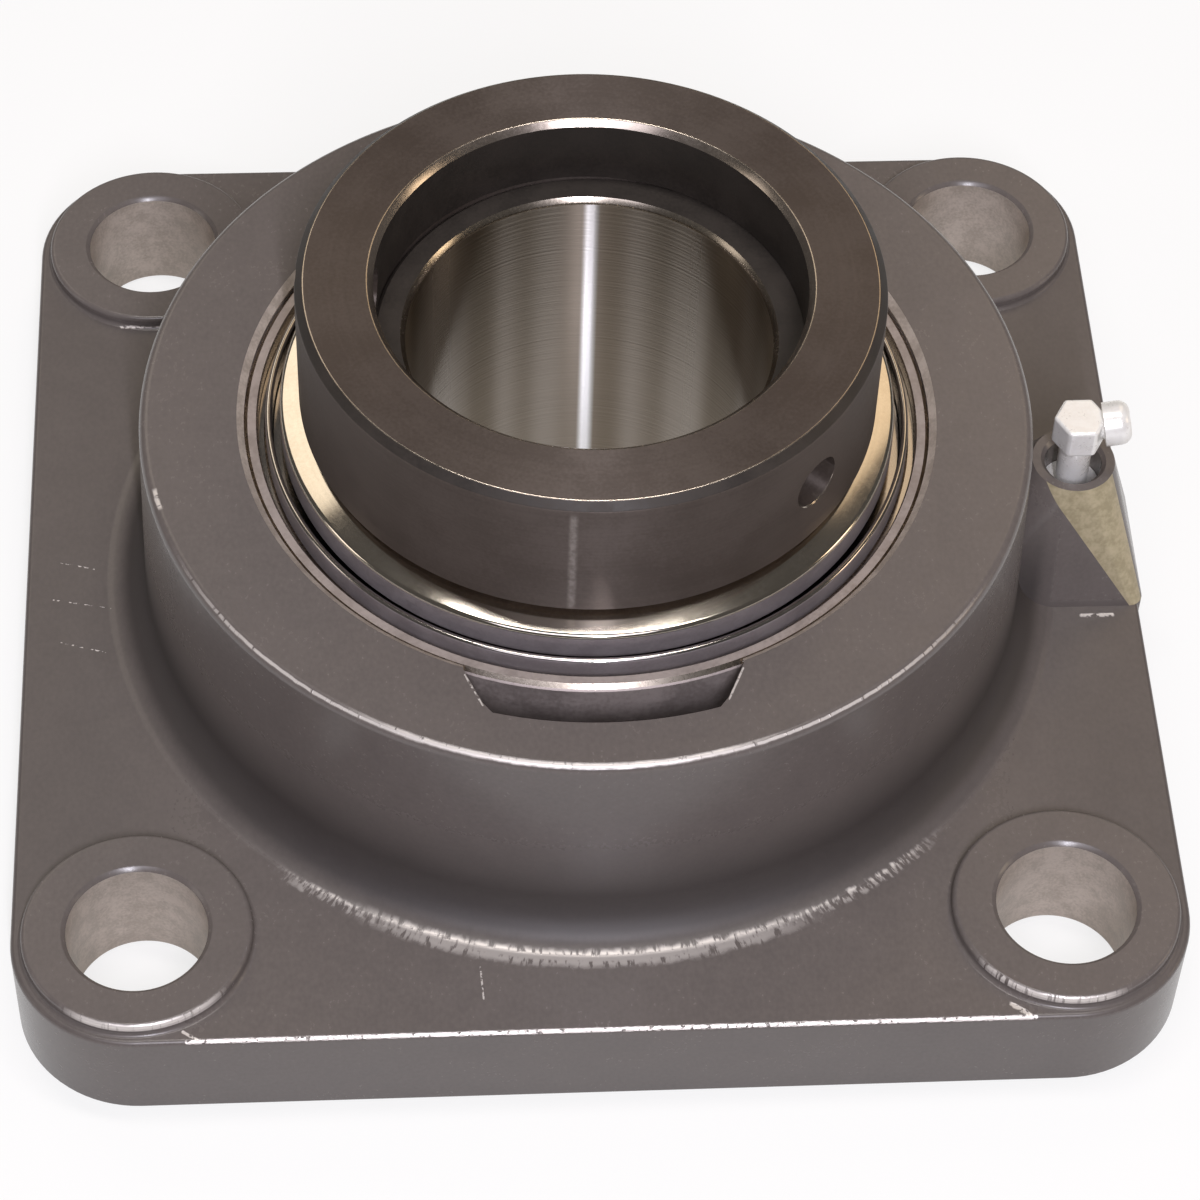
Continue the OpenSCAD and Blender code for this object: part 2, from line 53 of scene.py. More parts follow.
Test = Callable[[Vector, Vector], bool]
Material = bpy.types.Material
Socket = bpy.types.NodeSocket
log = logging.getLogger("flange_bearing")


class Cut(Enum):
    """What a Boolean does with the second mesh."""

    JOIN = "UNION"
    REMOVE = "DIFFERENCE"


class Side(Enum):
    """The two sides of the bearing insert, seen from its centre."""

    FRONT = 1
    REAR = -1


def arc(x: float, y: float, radius: float, start: float, end: float, steps: int = 8) -> list[Point]:
    """Gives the points of an arc.

    Args:
        x: First coordinate of the arc's centre.
        y: Second coordinate of the arc's centre.
        radius: The arc's radius.
        start: Angle of the first point, in degrees.
        end: Angle of the last point, in degrees.
        steps: Number of chords.

    Returns:
        The points from start to end, both included.
    """
    turns = [math.radians(start + (end - start) * i / steps) for i in range(steps + 1)]
    return [(x + radius * math.cos(t), y + radius * math.sin(t)) for t in turns]


def deselect() -> None:
    """Leaves nothing selected, in object mode."""
    if bpy.context.object and bpy.context.object.mode != "OBJECT":
        bpy.ops.object.mode_set(mode="OBJECT")
    bpy.ops.object.select_all(action="DESELECT")


def grab() -> None:
    """Selects the whole of the mesh that is open in edit mode."""
    bpy.ops.mesh.select_all(action="SELECT")


class Workpiece:
    """A mesh on the bench, shaped by edit-mode operators and applied modifiers."""

    def __init__(self, name: str) -> None:
        """Takes the object that a primitive operator has just added.

        Args:
            name: The object's new name.
        """
        self.obj = bpy.context.object
        self.obj.name = name
        bpy.ops.object.transform_apply(location=True, rotation=True, scale=True)

    def pick(self) -> None:
        """Makes this the only selected object, and the active one."""
        deselect()
        self.obj.select_set(True)
        bpy.context.view_layer.objects.active = self.obj

    @contextmanager
    def editing(self, kind: str = "VERT") -> Iterator[None]:
        """Opens the mesh in edit mode, with whatever is selected in it.

        Args:
            kind: What is selected, VERT, EDGE or FACE.

        Returns:
            A context that goes back to object mode at its end.
        """
        self.pick()
        bpy.context.tool_settings.mesh_select_mode = tuple(k == kind for k in ("VERT", "EDGE", "FACE"))
        bpy.ops.object.mode_set(mode="EDIT")
        yield
        bpy.ops.object.mode_set(mode="OBJECT")

    def clear(self) -> None:
        """Deselects every vertex, edge and face."""
        for part in (self.obj.data.vertices, self.obj.data.edges, self.obj.data.polygons):
            part.foreach_set("select", [False] * len(part))

    def edges(self, test: Test) -> None:
        """Selects the edges whose two ends pass the test.

        Args:
            test: Gets the places of both ends in millimetres.
        """
        self.clear()
        mesh = self.obj.data
        for e in mesh.edges:
            if test(*(mesh.vertices[i].co / MM for i in e.vertices)):
                e.select = True
                for i in e.vertices:
                    mesh.vertices[i].select = True

    @classmethod
    def drawn(cls, name: str, outline: Sequence[Point], upright: bool = True) -> "Workpiece":
        """Draws a closed outline by extruding one vertex from point to point.

        Args:
            name: The object's name.
            outline: The points, [radius, height] if upright and [x, y] if not.
            upright: Whether the outline stands in the XZ plane.

        Returns:
            The outline, as a loop of edges.
        """
        spots = [Vector((p[0], 0, p[1]) if upright else (p[0], p[1], 0)) * MM for p in outline]
        deselect()
        bpy.ops.mesh.primitive_plane_add(size=MM, location=spots[0])
        piece = cls(name)
        with piece.editing():
            grab()
            bpy.ops.mesh.merge(type="CENTER")
            for a, b in zip(spots, [*spots[1:], spots[0]]):
                bpy.ops.mesh.extrude_vertices_move(TRANSFORM_OT_translate={"value": b - a})
            grab()
            bpy.ops.mesh.remove_doubles(threshold=MM * 1e-3)
        return piece

    @classmethod
    def turned(cls, name: str, outline: Sequence[Point], steps: int = 192) -> "Workpiece":
        """Turns a closed outline of [radius, height] points round the Z axis.

        Args:
            name: The object's name.
            outline: The points of the outline.
            steps: Number of steps in the full turn.

        Returns:
            The turned solid.
        """
        piece = cls.drawn(name, outline)
        with piece.editing():
            grab()
            bpy.ops.mesh.spin(steps=steps, angle=math.tau, center=(0, 0, 0), axis=(0, 0, 1))
            grab()
            bpy.ops.mesh.remove_doubles(threshold=MM * 2e-3)
            bpy.ops.mesh.normals_make_consistent(inside=False)
        return piece

    @classmethod
    def prism(cls, name: str, outline: Sequence[Point], low: float, high: float) -> "Workpiece":
        """Raises a flat outline of [x, y] points into a solid.

        Args:
            name: The object's name.
            outline: The points of the outline.
            low: Height of the lower face.
            high: Height of the upper face.

        Returns:
            The solid.
        """
        piece = cls.drawn(name, outline, upright=False)
        with piece.editing():
            grab()
            bpy.ops.mesh.edge_face_add()
            bpy.ops.transform.translate(value=(0, 0, low * MM))
            bpy.ops.mesh.extrude_region_move(TRANSFORM_OT_translate={"value": (0, 0, (high - low) * MM)})
            grab()
            bpy.ops.mesh.normals_make_consistent(inside=False)
        return piece

    @classmethod
    def rod(cls, name: str, sides: int, radius: float, length: float, middle: Sequence[float] = (0, 0, 0),
            turn: float = 0) -> "Workpiece":
        """Adds an upright cylinder or, with few sides, a prism.

        Args:
            name: The object's name.
            sides: Number of sides.
            radius: Radius out to the corners.
            length: Its length.
            middle: The place of its centre.
            turn: How far it is turned about its own axis, in degrees.

        Returns:
            The solid.
        """
        deselect()
        bpy.ops.mesh.primitive_cylinder_add(
            vertices=sides, radius=radius * MM, depth=length * MM, location=[v * MM for v in middle],
            rotation=(0, 0, math.radians(turn)))
        return cls(name)

    def copied(self, name: str) -> "Workpiece":
        """Gives a second piece with a mesh of its own.

        Args:
            name: The new piece's name.

        Returns:
            The copy.
        """
        self.pick()
        bpy.ops.object.duplicate(linked=False)
        return Workpiece(name)

    def moved(self, x: float = 0, y: float = 0, z: float = 0) -> "Workpiece":
        """Moves the mesh, in millimetres.

        Args:
            x: How far along X.
            y: How far along Y.
            z: How far along Z.

        Returns:
            The piece.
        """
        self.pick()
        bpy.ops.transform.translate(value=(x * MM, y * MM, z * MM))
        bpy.ops.object.transform_apply(location=True, rotation=True, scale=True)
        return self

    def swung(self, degrees: float, axis: str, about: Sequence[float] = (0, 0, 0)) -> "Workpiece":
        """Turns the mesh about an axis through a point, by the right-hand rule.

        Args:
            degrees: The angle.
            axis: X, Y or Z.
            about: The point, in millimetres.

        Returns:
            The piece.
        """
        spot = Vector(about) * MM
        turn = Matrix.Translation(spot) @ Matrix.Rotation(math.radians(degrees), 4, axis)
        self.obj.matrix_world = turn @ Matrix.Translation(-spot) @ self.obj.matrix_world
        self.pick()
        bpy.ops.object.transform_apply(location=True, rotation=True, scale=True)
        return self

    def combined(self, other: "Workpiece", cut: Cut) -> "Workpiece":
        """Joins another solid to this one or removes it, and throws the other away.

        Args:
            other: The second solid, whose materials go with its faces.
            cut: What is done with it.

        Returns:
            The piece.
        """
        step = self.obj.modifiers.new(cut.value, "BOOLEAN")
        step.operation, step.object, step.solver = cut.value, other.obj, "EXACT"
        step.material_mode = "TRANSFER"
        self.pick()
        bpy.ops.object.modifier_apply(modifier=step.name)
        bpy.data.objects.remove(other.obj)
        return self

    def bevelled(self, width: float, segments: int = 3) -> "Workpiece":
        """Bevels the edges that are selected.

        Args:
            width: The bevel's width, in millimetres.
            segments: Number of faces across it.

        Returns:
            The piece.
        """
        with self.editing("EDGE"):
            bpy.ops.mesh.bevel(offset=width * MM, segments=segments, profile=0.5, clamp_overlap=True)
        return self

    def painted(self, material: Material) -> "Workpiece":
        """Gives the whole piece one material.

        Args:
            material: The material.

        Returns:
            The piece.
        """
        self.obj.data.materials.clear()
        self.obj.data.materials.append(material)
        return self

    def patched(self, material: Material, test: Test) -> "Workpiece":
        """Gives some faces a second material.

        Args:
            material: Their material.
            test: Gets the middle of a face in millimetres, and its normal.

        Returns:
            The piece.
        """
        self.obj.data.materials.append(material)
        self.clear()
        for face in self.obj.data.polygons:
            face.select = test(face.center / MM, face.normal)
        self.obj.active_material_index = len(self.obj.data.materials) - 1
        with self.editing("FACE"):
            bpy.ops.object.material_slot_assign()
        return self

    def finished(self, body: str, node: str, angle: float = 32) -> None:
        """Shades the piece, hangs it on its body and reports it.

        Args:
            body: The CAD body that carries it.
            node: The CAD node that it stands for, which is hidden.
            angle: Edges sharper than this stay sharp, in degrees.
        """
        self.pick()
        bpy.ops.object.shade_smooth_by_angle(angle=math.radians(angle))
        even = self.obj.modifiers.new("even", "WEIGHTED_NORMAL")
        even.keep_sharp = True
        bpy.ops.object.modifier_apply(modifier=even.name)
        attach(self.obj, body)
        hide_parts(node)
        count = sum(len(p.vertices) - 2 for p in self.obj.data.polygons)
        log.info("%s: %d triangles, rides on %s", self.obj.name, count, body)


def linear(code: str) -> tuple[float, float, float, float]:
    """Turns an sRGB hex colour to linear light.

    Args:
        code: Six hex digits after a hash sign.

    Returns:
        Red, green, blue and an alpha of 1.
    """
    parts = [int(code[i:i + 2], 16) / 255 for i in (1, 3, 5)]
    return (*[c / 12.92 if c <= 0.04045 else ((c + 0.055) / 1.055) ** 2.4 for c in parts], 1.0)


class Nodes:
    """A material's node tree, with short calls for the nodes that the finishes share."""

    def __init__(self, title: str) -> None:
        """Starts a material with an empty tree.

        Args:
            title: The material's name.
        """
        self.made = bpy.data.materials.new(title)
        self.made.use_nodes = True
        self.made.node_tree.nodes.clear()

    def add(self, kind: str, feeds: dict | None = None, out: int | str = 0, **settings: object) -> Socket:
        """Adds a node with its settings, values and links.

        Args:
            kind: The node's type, without the ShaderNode in front.
            feeds: Input names or numbers, each with a value or with the socket linked to it.
            out: The output that is given back.
            **settings: The node's own properties.

        Returns:
            One of the node's output sockets, or its first input if it has no outputs.
        """
        node = self.made.node_tree.nodes.new("ShaderNode" + kind)
        for key, value in settings.items():
            setattr(node, key, value)
        for key, value in (feeds or {}).items():
            if isinstance(value, Socket):
                self.made.node_tree.links.new(value, node.inputs[key])
            else:
                node.inputs[key].default_value = value
        return node.outputs[out] if node.outputs else node.inputs[0]

    @cached_property
    def place(self) -> Socket:
        """Gives the Object coordinates, in millimetres."""
        return self.add("Mapping", {"Vector": self.add("TexCoord", out="Object"), "Scale": (1 / MM,) * 3})

    def maths(self, how: str, *values: Socket | float) -> Socket:
        """Works out numbers with one Math operation."""
        return self.add("Math", dict(enumerate(values)), operation=how)

    def fold(self, how: str, values: Iterable[Socket]) -> Socket:
        """Takes any number of values through a Math operation, two at a time."""
        return reduce(lambda a, b: self.maths(how, a, b), values)

    def total(self, *parts: tuple[Socket, float]) -> Socket:
        """Adds up values, each times its weight."""
        return self.fold("ADD", [self.maths("MULTIPLY", value, weight) for value, weight in parts])

    def vector(self, how: str, *values: Socket | Sequence[float], out: int | str = 0) -> Socket:
        """Works out vectors with one VectorMath operation, whose Value output is a number."""
        return self.add("VectorMath", dict(enumerate(values)), out=out, operation=how)

    def noise(self, spot: Socket, scale: float, detail: float = 2) -> Socket:
        """Gives a noise value at a point, with so many repeats in a millimetre."""
        return self.add("TexNoise", {"Vector": spot, "Scale": scale, "Detail": detail})

    def spread(self, value: Socket, low: float, high: float, to_low: float = 0, to_high: float = 1,
               kind: str = "SMOOTHSTEP") -> Socket:
        """Maps a range of a value to another range, clamped.

        Args:
            value: The socket to map.
            low: Value that gives to_low.
            high: Value that gives to_high.
            to_low: Result at low.
            to_high: Result at high.
            kind: SMOOTHSTEP eases the ends, and LINEAR doesn't.

        Returns:
            The mapped value.
        """
        return self.add("MapRange", {"Value": value, "From Min": low, "From Max": high,
                                     "To Min": to_low, "To Max": to_high}, interpolation_type=kind)

    def off(self, value: Socket, middle: float) -> Socket:
        """Gives how far a value is from its middle, without sign."""
        return self.maths("ABSOLUTE", self.maths("SUBTRACT", value, middle))

    def mix(self, share: Socket | float, first: object, second: object, **settings: object) -> Socket:
        """Mixes two colours."""
        return self.add("Mix", {"Factor": share, 6: first, 7: second}, out=2, data_type="RGBA", **settings)

    def polar(self, spot: Socket) -> tuple[Socket, Socket, Socket]:
        """Turns a point's coordinates to cylindrical ones round the Z axis.

        Args:
            spot: The point.

        Returns:
            The distance, the angle in radians and the height.
        """
        x, y, height = self.add("SeparateXYZ", {0: spot}).node.outputs
        out = self.vector("LENGTH", self.vector("MULTIPLY", spot, (1, 1, 0)), out="Value")
        return out, self.maths("ARCTAN2", y, x), height


@dataclass(frozen=True)
class WearHighlightArc:
    """A ragged-width arc of wear and painted highlight. Sizes are millimetres, and angles degrees from +X."""

    centre: Point
    radius: float
    width: float
    middle: float
    span: float
    low: float
    high: float
    ragged: float
    cover: float

    def mask(self, n: Nodes) -> Socket:
        """Draws the arc of wear and painted highlight.

        Args:
            n: The material's nodes.

        Returns:
            1 on the painted mark, and 0 elsewhere.
        """
        out, turn, height = n.polar(n.vector("SUBTRACT", n.place, (*self.centre, 0)))
        wander = n.maths("MULTIPLY_ADD", n.noise(n.place, 0.9, 3), self.ragged, -self.ragged / 2)
        gap = n.off(n.maths("ADD", out, wander), self.radius)
        away, reach = n.off(turn, math.radians(self.middle)), math.radians(self.span / 2)
        along, across = n.maths("MULTIPLY", turn, self.radius * 2.2), n.maths("MULTIPLY", out, 0.6)
        drag = n.add("CombineXYZ", {0: along, 1: across})
        chips = n.maths("ADD", n.noise(drag, 1, 4), self.cover)
        return n.fold("MULTIPLY", [
            n.spread(gap, self.width, self.width * 0.35), n.spread(away, reach, reach * 0.6),
            n.spread(height, self.low, self.low + 0.2), n.spread(height, self.high + 0.2, self.high),
            n.spread(chips, 0.92, 1.06)])


@dataclass(frozen=True)
class WearHighlightLine:
    """A straight line of wear and painted highlight between two points in millimetres, with a ragged width.
    """

    start: Place
    end: Place
    width: float
    cover: float

    def mask(self, n: Nodes) -> Socket:
        """Draws the line of wear and painted highlight.

        Args:
            n: The material's nodes.

        Returns:
            1 on the painted mark, and 0 elsewhere.
        """
        run = Vector(self.end) - Vector(self.start)
        spot = n.vector("SUBTRACT", n.place, self.start)
        along = n.vector("DOT_PRODUCT", spot, tuple(run / run.length_squared), out="Value")
        foot = n.add("VectorMath", {0: tuple(run), "Scale": n.add("Clamp", {0: along})}, operation="SCALE")
        gap = n.vector("DISTANCE", spot, foot, out="Value")
        gap = n.maths("MULTIPLY_ADD", n.noise(n.place, 1.4, 3), self.width, gap)
        chips = n.maths("ADD", n.noise(n.place, 2.3, 3), self.cover)
        band = n.spread(gap, self.width * 1.5, self.width * 0.9)
        return n.maths("MULTIPLY", band, n.spread(chips, 0.92, 1.04))


@dataclass(frozen=True)
class Finish:
    """How a surface was made, as the values of one Principled shader and a fine relief.

    Patches, grain and relief are millimetres. A turned surface stretches its shine by the share in turned,
    and its lathe lines vary the colour by the share in lines. A lathe leaves lines about 0.1 mm apart, too
    fine for the render, so they are drawn 0.35 mm apart.
    """

    # Bright colour of wear and painted highlights.
    WEAR_HIGHLIGHT_COLOUR = "#d8d2cc"
    # Dark colour of painted shade.
    SHADE_COLOUR = "#262120"
    LATHE_STEP = 0.35

    title: str
    colour: str
    second: str
    metallic: float
    roughness: float
    patch_mm: float = 4.0
    grain_mm: float = 0.4
    relief_mm: float = 0.01
    turned: float = 0.0
    lines: float = 0.12
    specular: float = 0.5

    def pattern(self, n: Nodes) -> Socket:
        """Gives the share of the second colour, from patches and grain."""
        patches, grain = n.noise(n.place, 1 / self.patch_mm, 4), n.noise(n.place, 1 / self.grain_mm)
        return n.spread(n.total((patches, 0.6), (grain, 0.4)), 0.36, 0.64)

    def relief(self, n: Nodes) -> Socket:
        """Gives the height of the surface's own grain, in millimetres."""
        return n.maths("MULTIPLY", n.noise(n.place, 1 / self.grain_mm), self.relief_mm)

    def rings(self, n: Nodes, step_mm: float) -> Socket:
        """Draws lathe lines, by noise that changes with radius and height but not round the axis."""
        out, _, height = n.polar(n.place)
        return n.noise(n.add("CombineXYZ", {0: out, 1: height}), 1 / step_mm)

    def wear_and_highlights(self, n: Nodes) -> Socket | None:
        """Gives the mask of wear and painted highlights, or None on a finish that has none."""
        return None

    def painted_shade(self, n: Nodes) -> Socket | None:
        """Gives how much painted shade darkens the colour, or None on a finish without it."""
        return None

    def material(self) -> Material:
        """Builds the material, with its patterns on Object coordinates in millimetres.

        Returns:
            The finished material.
        """
        n = Nodes(self.title)
        share, height = self.pattern(n), self.relief(n)
        rough = n.spread(share, 0, 1, self.roughness * 0.9, self.roughness * 1.1, "LINEAR")
        colour = n.mix(share, linear(self.colour), linear(self.second))
        feeds: dict = {"Metallic": self.metallic, "Specular IOR Level": self.specular}
        if self.turned:
            lines = self.rings(n, self.LATHE_STEP)
            height = n.maths("MULTIPLY_ADD", lines, self.relief_mm, height)
            tint = n.spread(lines, 0.3, 0.7, 1 - self.lines, 1 + self.lines, "LINEAR")
            grey = n.add("CombineColor", {i: tint for i in range(3)})
            colour = n.mix(1, colour, grey, blend_type="MULTIPLY")
            feeds["Anisotropic"], feeds["Anisotropic Rotation"] = self.turned, 0.25
            feeds["Tangent"] = n.add("Tangent", direction_type="RADIAL", axis="Z")
        # Painted shade darkens the colour and makes it duller.
        if (shade_share := self.painted_shade(n)) is not None:
            colour = n.mix(shade_share, colour, linear(self.SHADE_COLOUR))
            rough = n.maths("MULTIPLY_ADD", shade_share, 0.4, rough)
        # Wear and painted highlights turn the colour bright and more metallic.
        if (wear_highlight := self.wear_and_highlights(n)) is not None:
            colour = n.mix(wear_highlight, colour, linear(self.WEAR_HIGHLIGHT_COLOUR))
            feeds["Metallic"] = n.maths("MAXIMUM", n.maths("MULTIPLY", wear_highlight, 0.35), self.metallic)
            rough = n.maths("MULTIPLY_ADD", wear_highlight, 0.1, rough)
            height = n.maths("MULTIPLY_ADD", wear_highlight, -0.03, height)
        feeds["Base Color"], feeds["Roughness"] = colour, rough
        feeds["Normal"] = n.add("Bump", {"Strength": 1, "Distance": MM, "Height": height})
        n.add("OutputMaterial", {"Surface": n.add("BsdfPrincipled", feeds)})
        return n.made


class CastPaint(Finish):
    """Brown-grey satin paint, sprayed on sand-cast iron: a fine orange grain over gentle cast waves."""

    WEAR_AND_HIGHLIGHT_MARKS = (
        # Round the barrel's foot: painted highlight over wear.
        WearHighlightArc((0, 0), 50.2, 1.25, -92, 60, 11.5, 13.0, 0.8, 0.56),
        WearHighlightArc((0, 0), 50.1, 0.5, -93, 34, 11.5, 13.0, 0.3, 0.72),
        WearHighlightArc((0, 0), 50.0, 0.8, -68, 46, 11.5, 12.8, 0.9, 0.46),
        WearHighlightArc((0, 0), 50.2, 0.8, -116, 30, 11.5, 12.8, 0.9, 0.48),
        # The pads' front rims: painted highlight over wear.
        WearHighlightArc((-46, -46), 11.3, 0.28, -84, 96, 12.2, 13.2, 0.2, 0.60),
        WearHighlightArc((46, -46), 11.3, 0.28, -106, 90, 12.2, 13.2, 0.2, 0.56),
        # The edge of the barrel's face: painted highlight over wear.
        WearHighlightArc((0, 0), 44.7, 0.34, -96, 60, 35.0, 36.7, 0.2, 0.62),
        WearHighlightArc((0, 0), 44.8, 0.18, -95, 130, 35.2, 36.6, 0.15, 0.60),
        WearHighlightArc((0, 0), 44.5, 0.3, -166, 4, 35.2, 36.6, 0.3, 0.6),
        # The flange's front edge and corners: painted highlight over wear.
        WearHighlightLine((-41, -58.3, 11.5), (41.6, -58.3, 11.5), 0.3, 0.62),
        WearHighlightLine((-41.4, -57.2, 11.6), (-39.8, -58.3, 11.6), 0.22, 0.58),
        WearHighlightLine((39.4, -56.8, 11.6), (41.4, -58.4, 11.6), 0.35, 0.6),
        # Short worn lines on the web and by the lug.
        WearHighlightLine((-12.4, -50.7, 11.6), (-12.2, -54.4, 11.6), 0.12, 0.5),
        WearHighlightLine((-55.4, 1.6, 11.6), (-51, 0.4, 11.6), 0.1, 0.42),
        WearHighlightLine((-55.6, -3.5, 11.6), (-49.6, -4.8, 11.6), 0.1, 0.42),
        WearHighlightLine((-55.2, -9, 11.6), (-50, -10.6, 11.6), 0.1, 0.42),
        WearHighlightLine((52.3, -8.9, 11.7), (55.5, -8.9, 11.7), 0.35, 0.55),
        # The ends of the loading slots: painted highlights.
        WearHighlightLine((13.4, -33.6, 36.5), (11.8, -37.3, 36.5), 0.14, 0.6),
        WearHighlightLine((-13.4, -33.6, 36.5), (-11.8, -37.3, 36.5), 0.12, 0.5),
        # A short worn line on the web.
        WearHighlightLine((-49.5, 34.7, 11.7), (-45, 34.7, 11.7), 0.25, 0.5),
    )

    def pattern(self, n: Nodes) -> Socket:
        """Mixes the two paints by wide clouds, small patches and fine grain.

        Args:
            n: The material's nodes.

        Returns:
            0 for the darker paint and 1 for the lighter.
        """
        clouds, patches = n.noise(n.place, 1 / 12), n.noise(n.place, 1 / self.patch_mm, 4)
        grain = n.noise(n.vector("MULTIPLY", n.place, (1, 0.7, 1)), 1 / self.grain_mm, 3)
        return n.spread(n.total((clouds, 0.2), (patches, 0.25), (grain, 0.55)), 0.18, 0.82)

    def painted_shade(self, n: Nodes) -> Socket:
        """Lays painted shade round the barrel's foot and towards the left and right of the web's top.

        Args:
            n: The material's nodes.

        Returns:
            0 where there is no painted shade, and up to 1 where it is darkest.
        """
        out, _, height = n.polar(n.place)
        # Painted shade in the corner round the barrel's foot.
        foot = n.fold("MULTIPLY", [n.spread(height, 26, 13.5), n.spread(out, 48.9, 47.4, 0.35, 1),
                                   n.spread(out, 49.8, 49.2, 0, 0.72)])
        # Painted shade towards the left and right of the web's top.
        aside = n.maths("ABSOLUTE", n.add("SeparateXYZ", {0: n.place}))
        web = n.fold("MULTIPLY", [n.spread(height, 12.6, 12), n.spread(aside, 36, 54, 0, 0.2),
                                  n.spread(height, 11.2, 11.5)])
        return n.maths("MAXIMUM", foot, web)

    def relief(self, n: Nodes) -> Socket:
        """Adds cast waves of 6 mm to the paint's grain."""
        waves, grain = n.noise(n.place, 1 / 6), n.noise(n.place, 1 / self.grain_mm, 3)
        return n.total((waves, 0.07), (grain, self.relief_mm))

    def wear_and_highlights(self, n: Nodes) -> Socket:
        """Gives the wear and painted highlights of the foot, the pads' rims, the face's edge and the flange.
        """
        return n.fold("MAXIMUM", [mark.mask(n) for mark in self.WEAR_AND_HIGHLIGHT_MARKS])


class TurnedBlack(Finish):
    """Turned and blacked steel, with one faint grey painted highlight down its front."""

    # Grey of the painted highlight.
    WEAR_HIGHLIGHT_COLOUR = "#9a938c"
    HIGHLIGHT_LINE_ANGLE = -96.0

    def wear_and_highlights(self, n: Nodes) -> Socket:
        """Draws the faint painted highlight, broken up by noise along its length.

        Args:
            n: The material's nodes.

        Returns:
            Up to 0.6 on the painted highlight, and 0 elsewhere.
        """
        _, turn, height = n.polar(n.place)
        return n.fold("MULTIPLY", [
            n.spread(n.off(turn, math.radians(self.HIGHLIGHT_LINE_ANGLE)), 0.02, 0.003),
            n.spread(n.noise(n.place, 2, 3), 0.3, 0.7, 0.25, 0.6),
            n.spread(height, 39.9, 41), n.spread(height, 54.8, 53.6)])


class HonedBore(Finish):
    """Honed steel, whose brown bands along the bore are painted reflections.

    The hone's round lines are 0.02 mm apart, too fine for the render, so they are drawn 0.3 mm apart.
    One narrow line along the bore is a painted highlight streak, brightest low in the bore.
    """

    # White of the painted highlight streak.
    WEAR_HIGHLIGHT_COLOUR = "#ffffff"
    HIGHLIGHT_STREAK_ANGLE = 86.4
    HONE_STEP = 0.3

    def wear_and_highlights(self, n: Nodes) -> Socket:
        """Draws the painted highlight streak, which is brightest low in the bore.

        Args:
            n: The material's nodes.

        Returns:
            Up to 1 on the painted highlight streak, and 0 elsewhere.
        """
        _, turn, height = n.polar(n.place)
        away = n.off(turn, math.radians(self.HIGHLIGHT_STREAK_ANGLE))
        return n.maths("MULTIPLY", n.spread(away, 0.055, 0.012), n.spread(height, 52, 14, 0.6, 1))

    def relief(self, n: Nodes) -> Socket:
        """Gives the height of the honing lines, in millimetres."""
        return n.maths("MULTIPLY", self.rings(n, self.HONE_STEP), 0.06)

    def pattern(self, n: Nodes) -> Socket:
        """Gives the share of the brown in the painted reflection bands, by the angle round the axis."""
        return n.spread(n.noise(n.add("CombineXYZ", {0: n.polar(n.place)[1]}), 2.6, 1), 0.35, 0.65)


# Brown-grey satin paint on sand-cast iron: half-gloss, with a fine grain and bare iron where it is knocked.
# The paint also carries painted highlights along its edges and painted shade round the barrel's foot.
CAST_PAINT = CastPaint("painted_cast_iron", "#605a57", "#6c6561", 0.0, 0.26, patch_mm=3.0,
                       grain_mm=0.45, relief_mm=0.004)
# Drilled and bored iron, open-grained, with a dull grey shine.
BORED_IRON = Finish("bored_cast_iron", "#a89d92", "#c4b9ae", 0.3, 0.5, patch_mm=2.0, grain_mm=0.3)
# Turned steel, blackened in hot salts: brown-black and satin, with faint lathe lines and one painted
# highlight.
BLACKED_STEEL = TurnedBlack("blacked_turned_steel", "#4f4640", "#59504a", 0.35, 0.46, patch_mm=6.0,
                            grain_mm=0.35, relief_mm=0.002, turned=0.85, lines=0.06, specular=0.35)
# The same steel on its outer edges, where handling has rubbed the black off: a thin bright line.
RUBBED_EDGE = Finish("rubbed_edge_steel", "#a89d92", "#b8ada2", 0.95, 0.24, patch_mm=3.0,
                     grain_mm=0.3, relief_mm=0.001)
# Nearly black, dull steel: painted shade in the collar's bore and on the inner ring's end face.
# It also darkens the collar's outer top chamfer.
DULL_BLACK_AND_SHADE = Finish("dull_black_steel_and_shade", "#2f2a26", "#38322d", 0.3, 0.55, grain_mm=0.35, relief_mm=0.002)
# Hardened ring steel, ground on its faces: bright, with a streak across the grinding marks.
GROUND_STEEL = Finish("ground_bearing_steel", "#b3a99c", "#bfb5a8", 1.0, 0.26, patch_mm=8.0, grain_mm=0.3,
                      relief_mm=0.0006, turned=0.6, lines=0.05)
# The outer ring's spherical seat, finely ground and dull with oil: a wide soft shine.
SEAT_STEEL = Finish("dull_ground_seat_steel", "#a49a96", "#b6aca8", 0.8, 0.55, relief_mm=0.003)
# Honed bore: bright across its fine round marks, so a lamp draws one narrow streak along the axis.
# A painted highlight streak lies along the lamp's streak.
# Its brown bands along the bore are painted reflections.
HONED_BORE = HonedBore("honed_bore_steel", "#9a9188", "#7f7466", 1.0, 0.3, relief_mm=0.0003, turned=1.0,
                       lines=0.04)
# Pressed stainless sheet of the flingers: bright and slightly soft.
PRESSED_SHEET = Finish("pressed_stainless_sheet", "#d3cabd", "#dcd4c8", 1.0, 0.12, patch_mm=5.0,
                       relief_mm=0.0006, turned=0.3, lines=0.03)
# Cold-rolled sheet of the seal retainers and the cage, a little greyer.
ROLLED_SHEET = Finish("cold_rolled_sheet", "#bdb7b2", "#c8c2bd", 1.0, 0.14, relief_mm=0.0006)
# The sheared edges and upright walls of both sheets: dull, so they show a soft grey.
SHEARED_EDGE = Finish("sheared_sheet_edge", "#8f888a", "#9b9496", 0.5, 0.5, patch_mm=3.0, relief_mm=0.002)
# Light ochre on the lug's faces that look to the front and up: a painted highlight.
LUG_HIGHLIGHT = Finish("lug_painted_highlight", "#9f9477", "#b9ad8f", 0.3, 0.42, patch_mm=1.5)
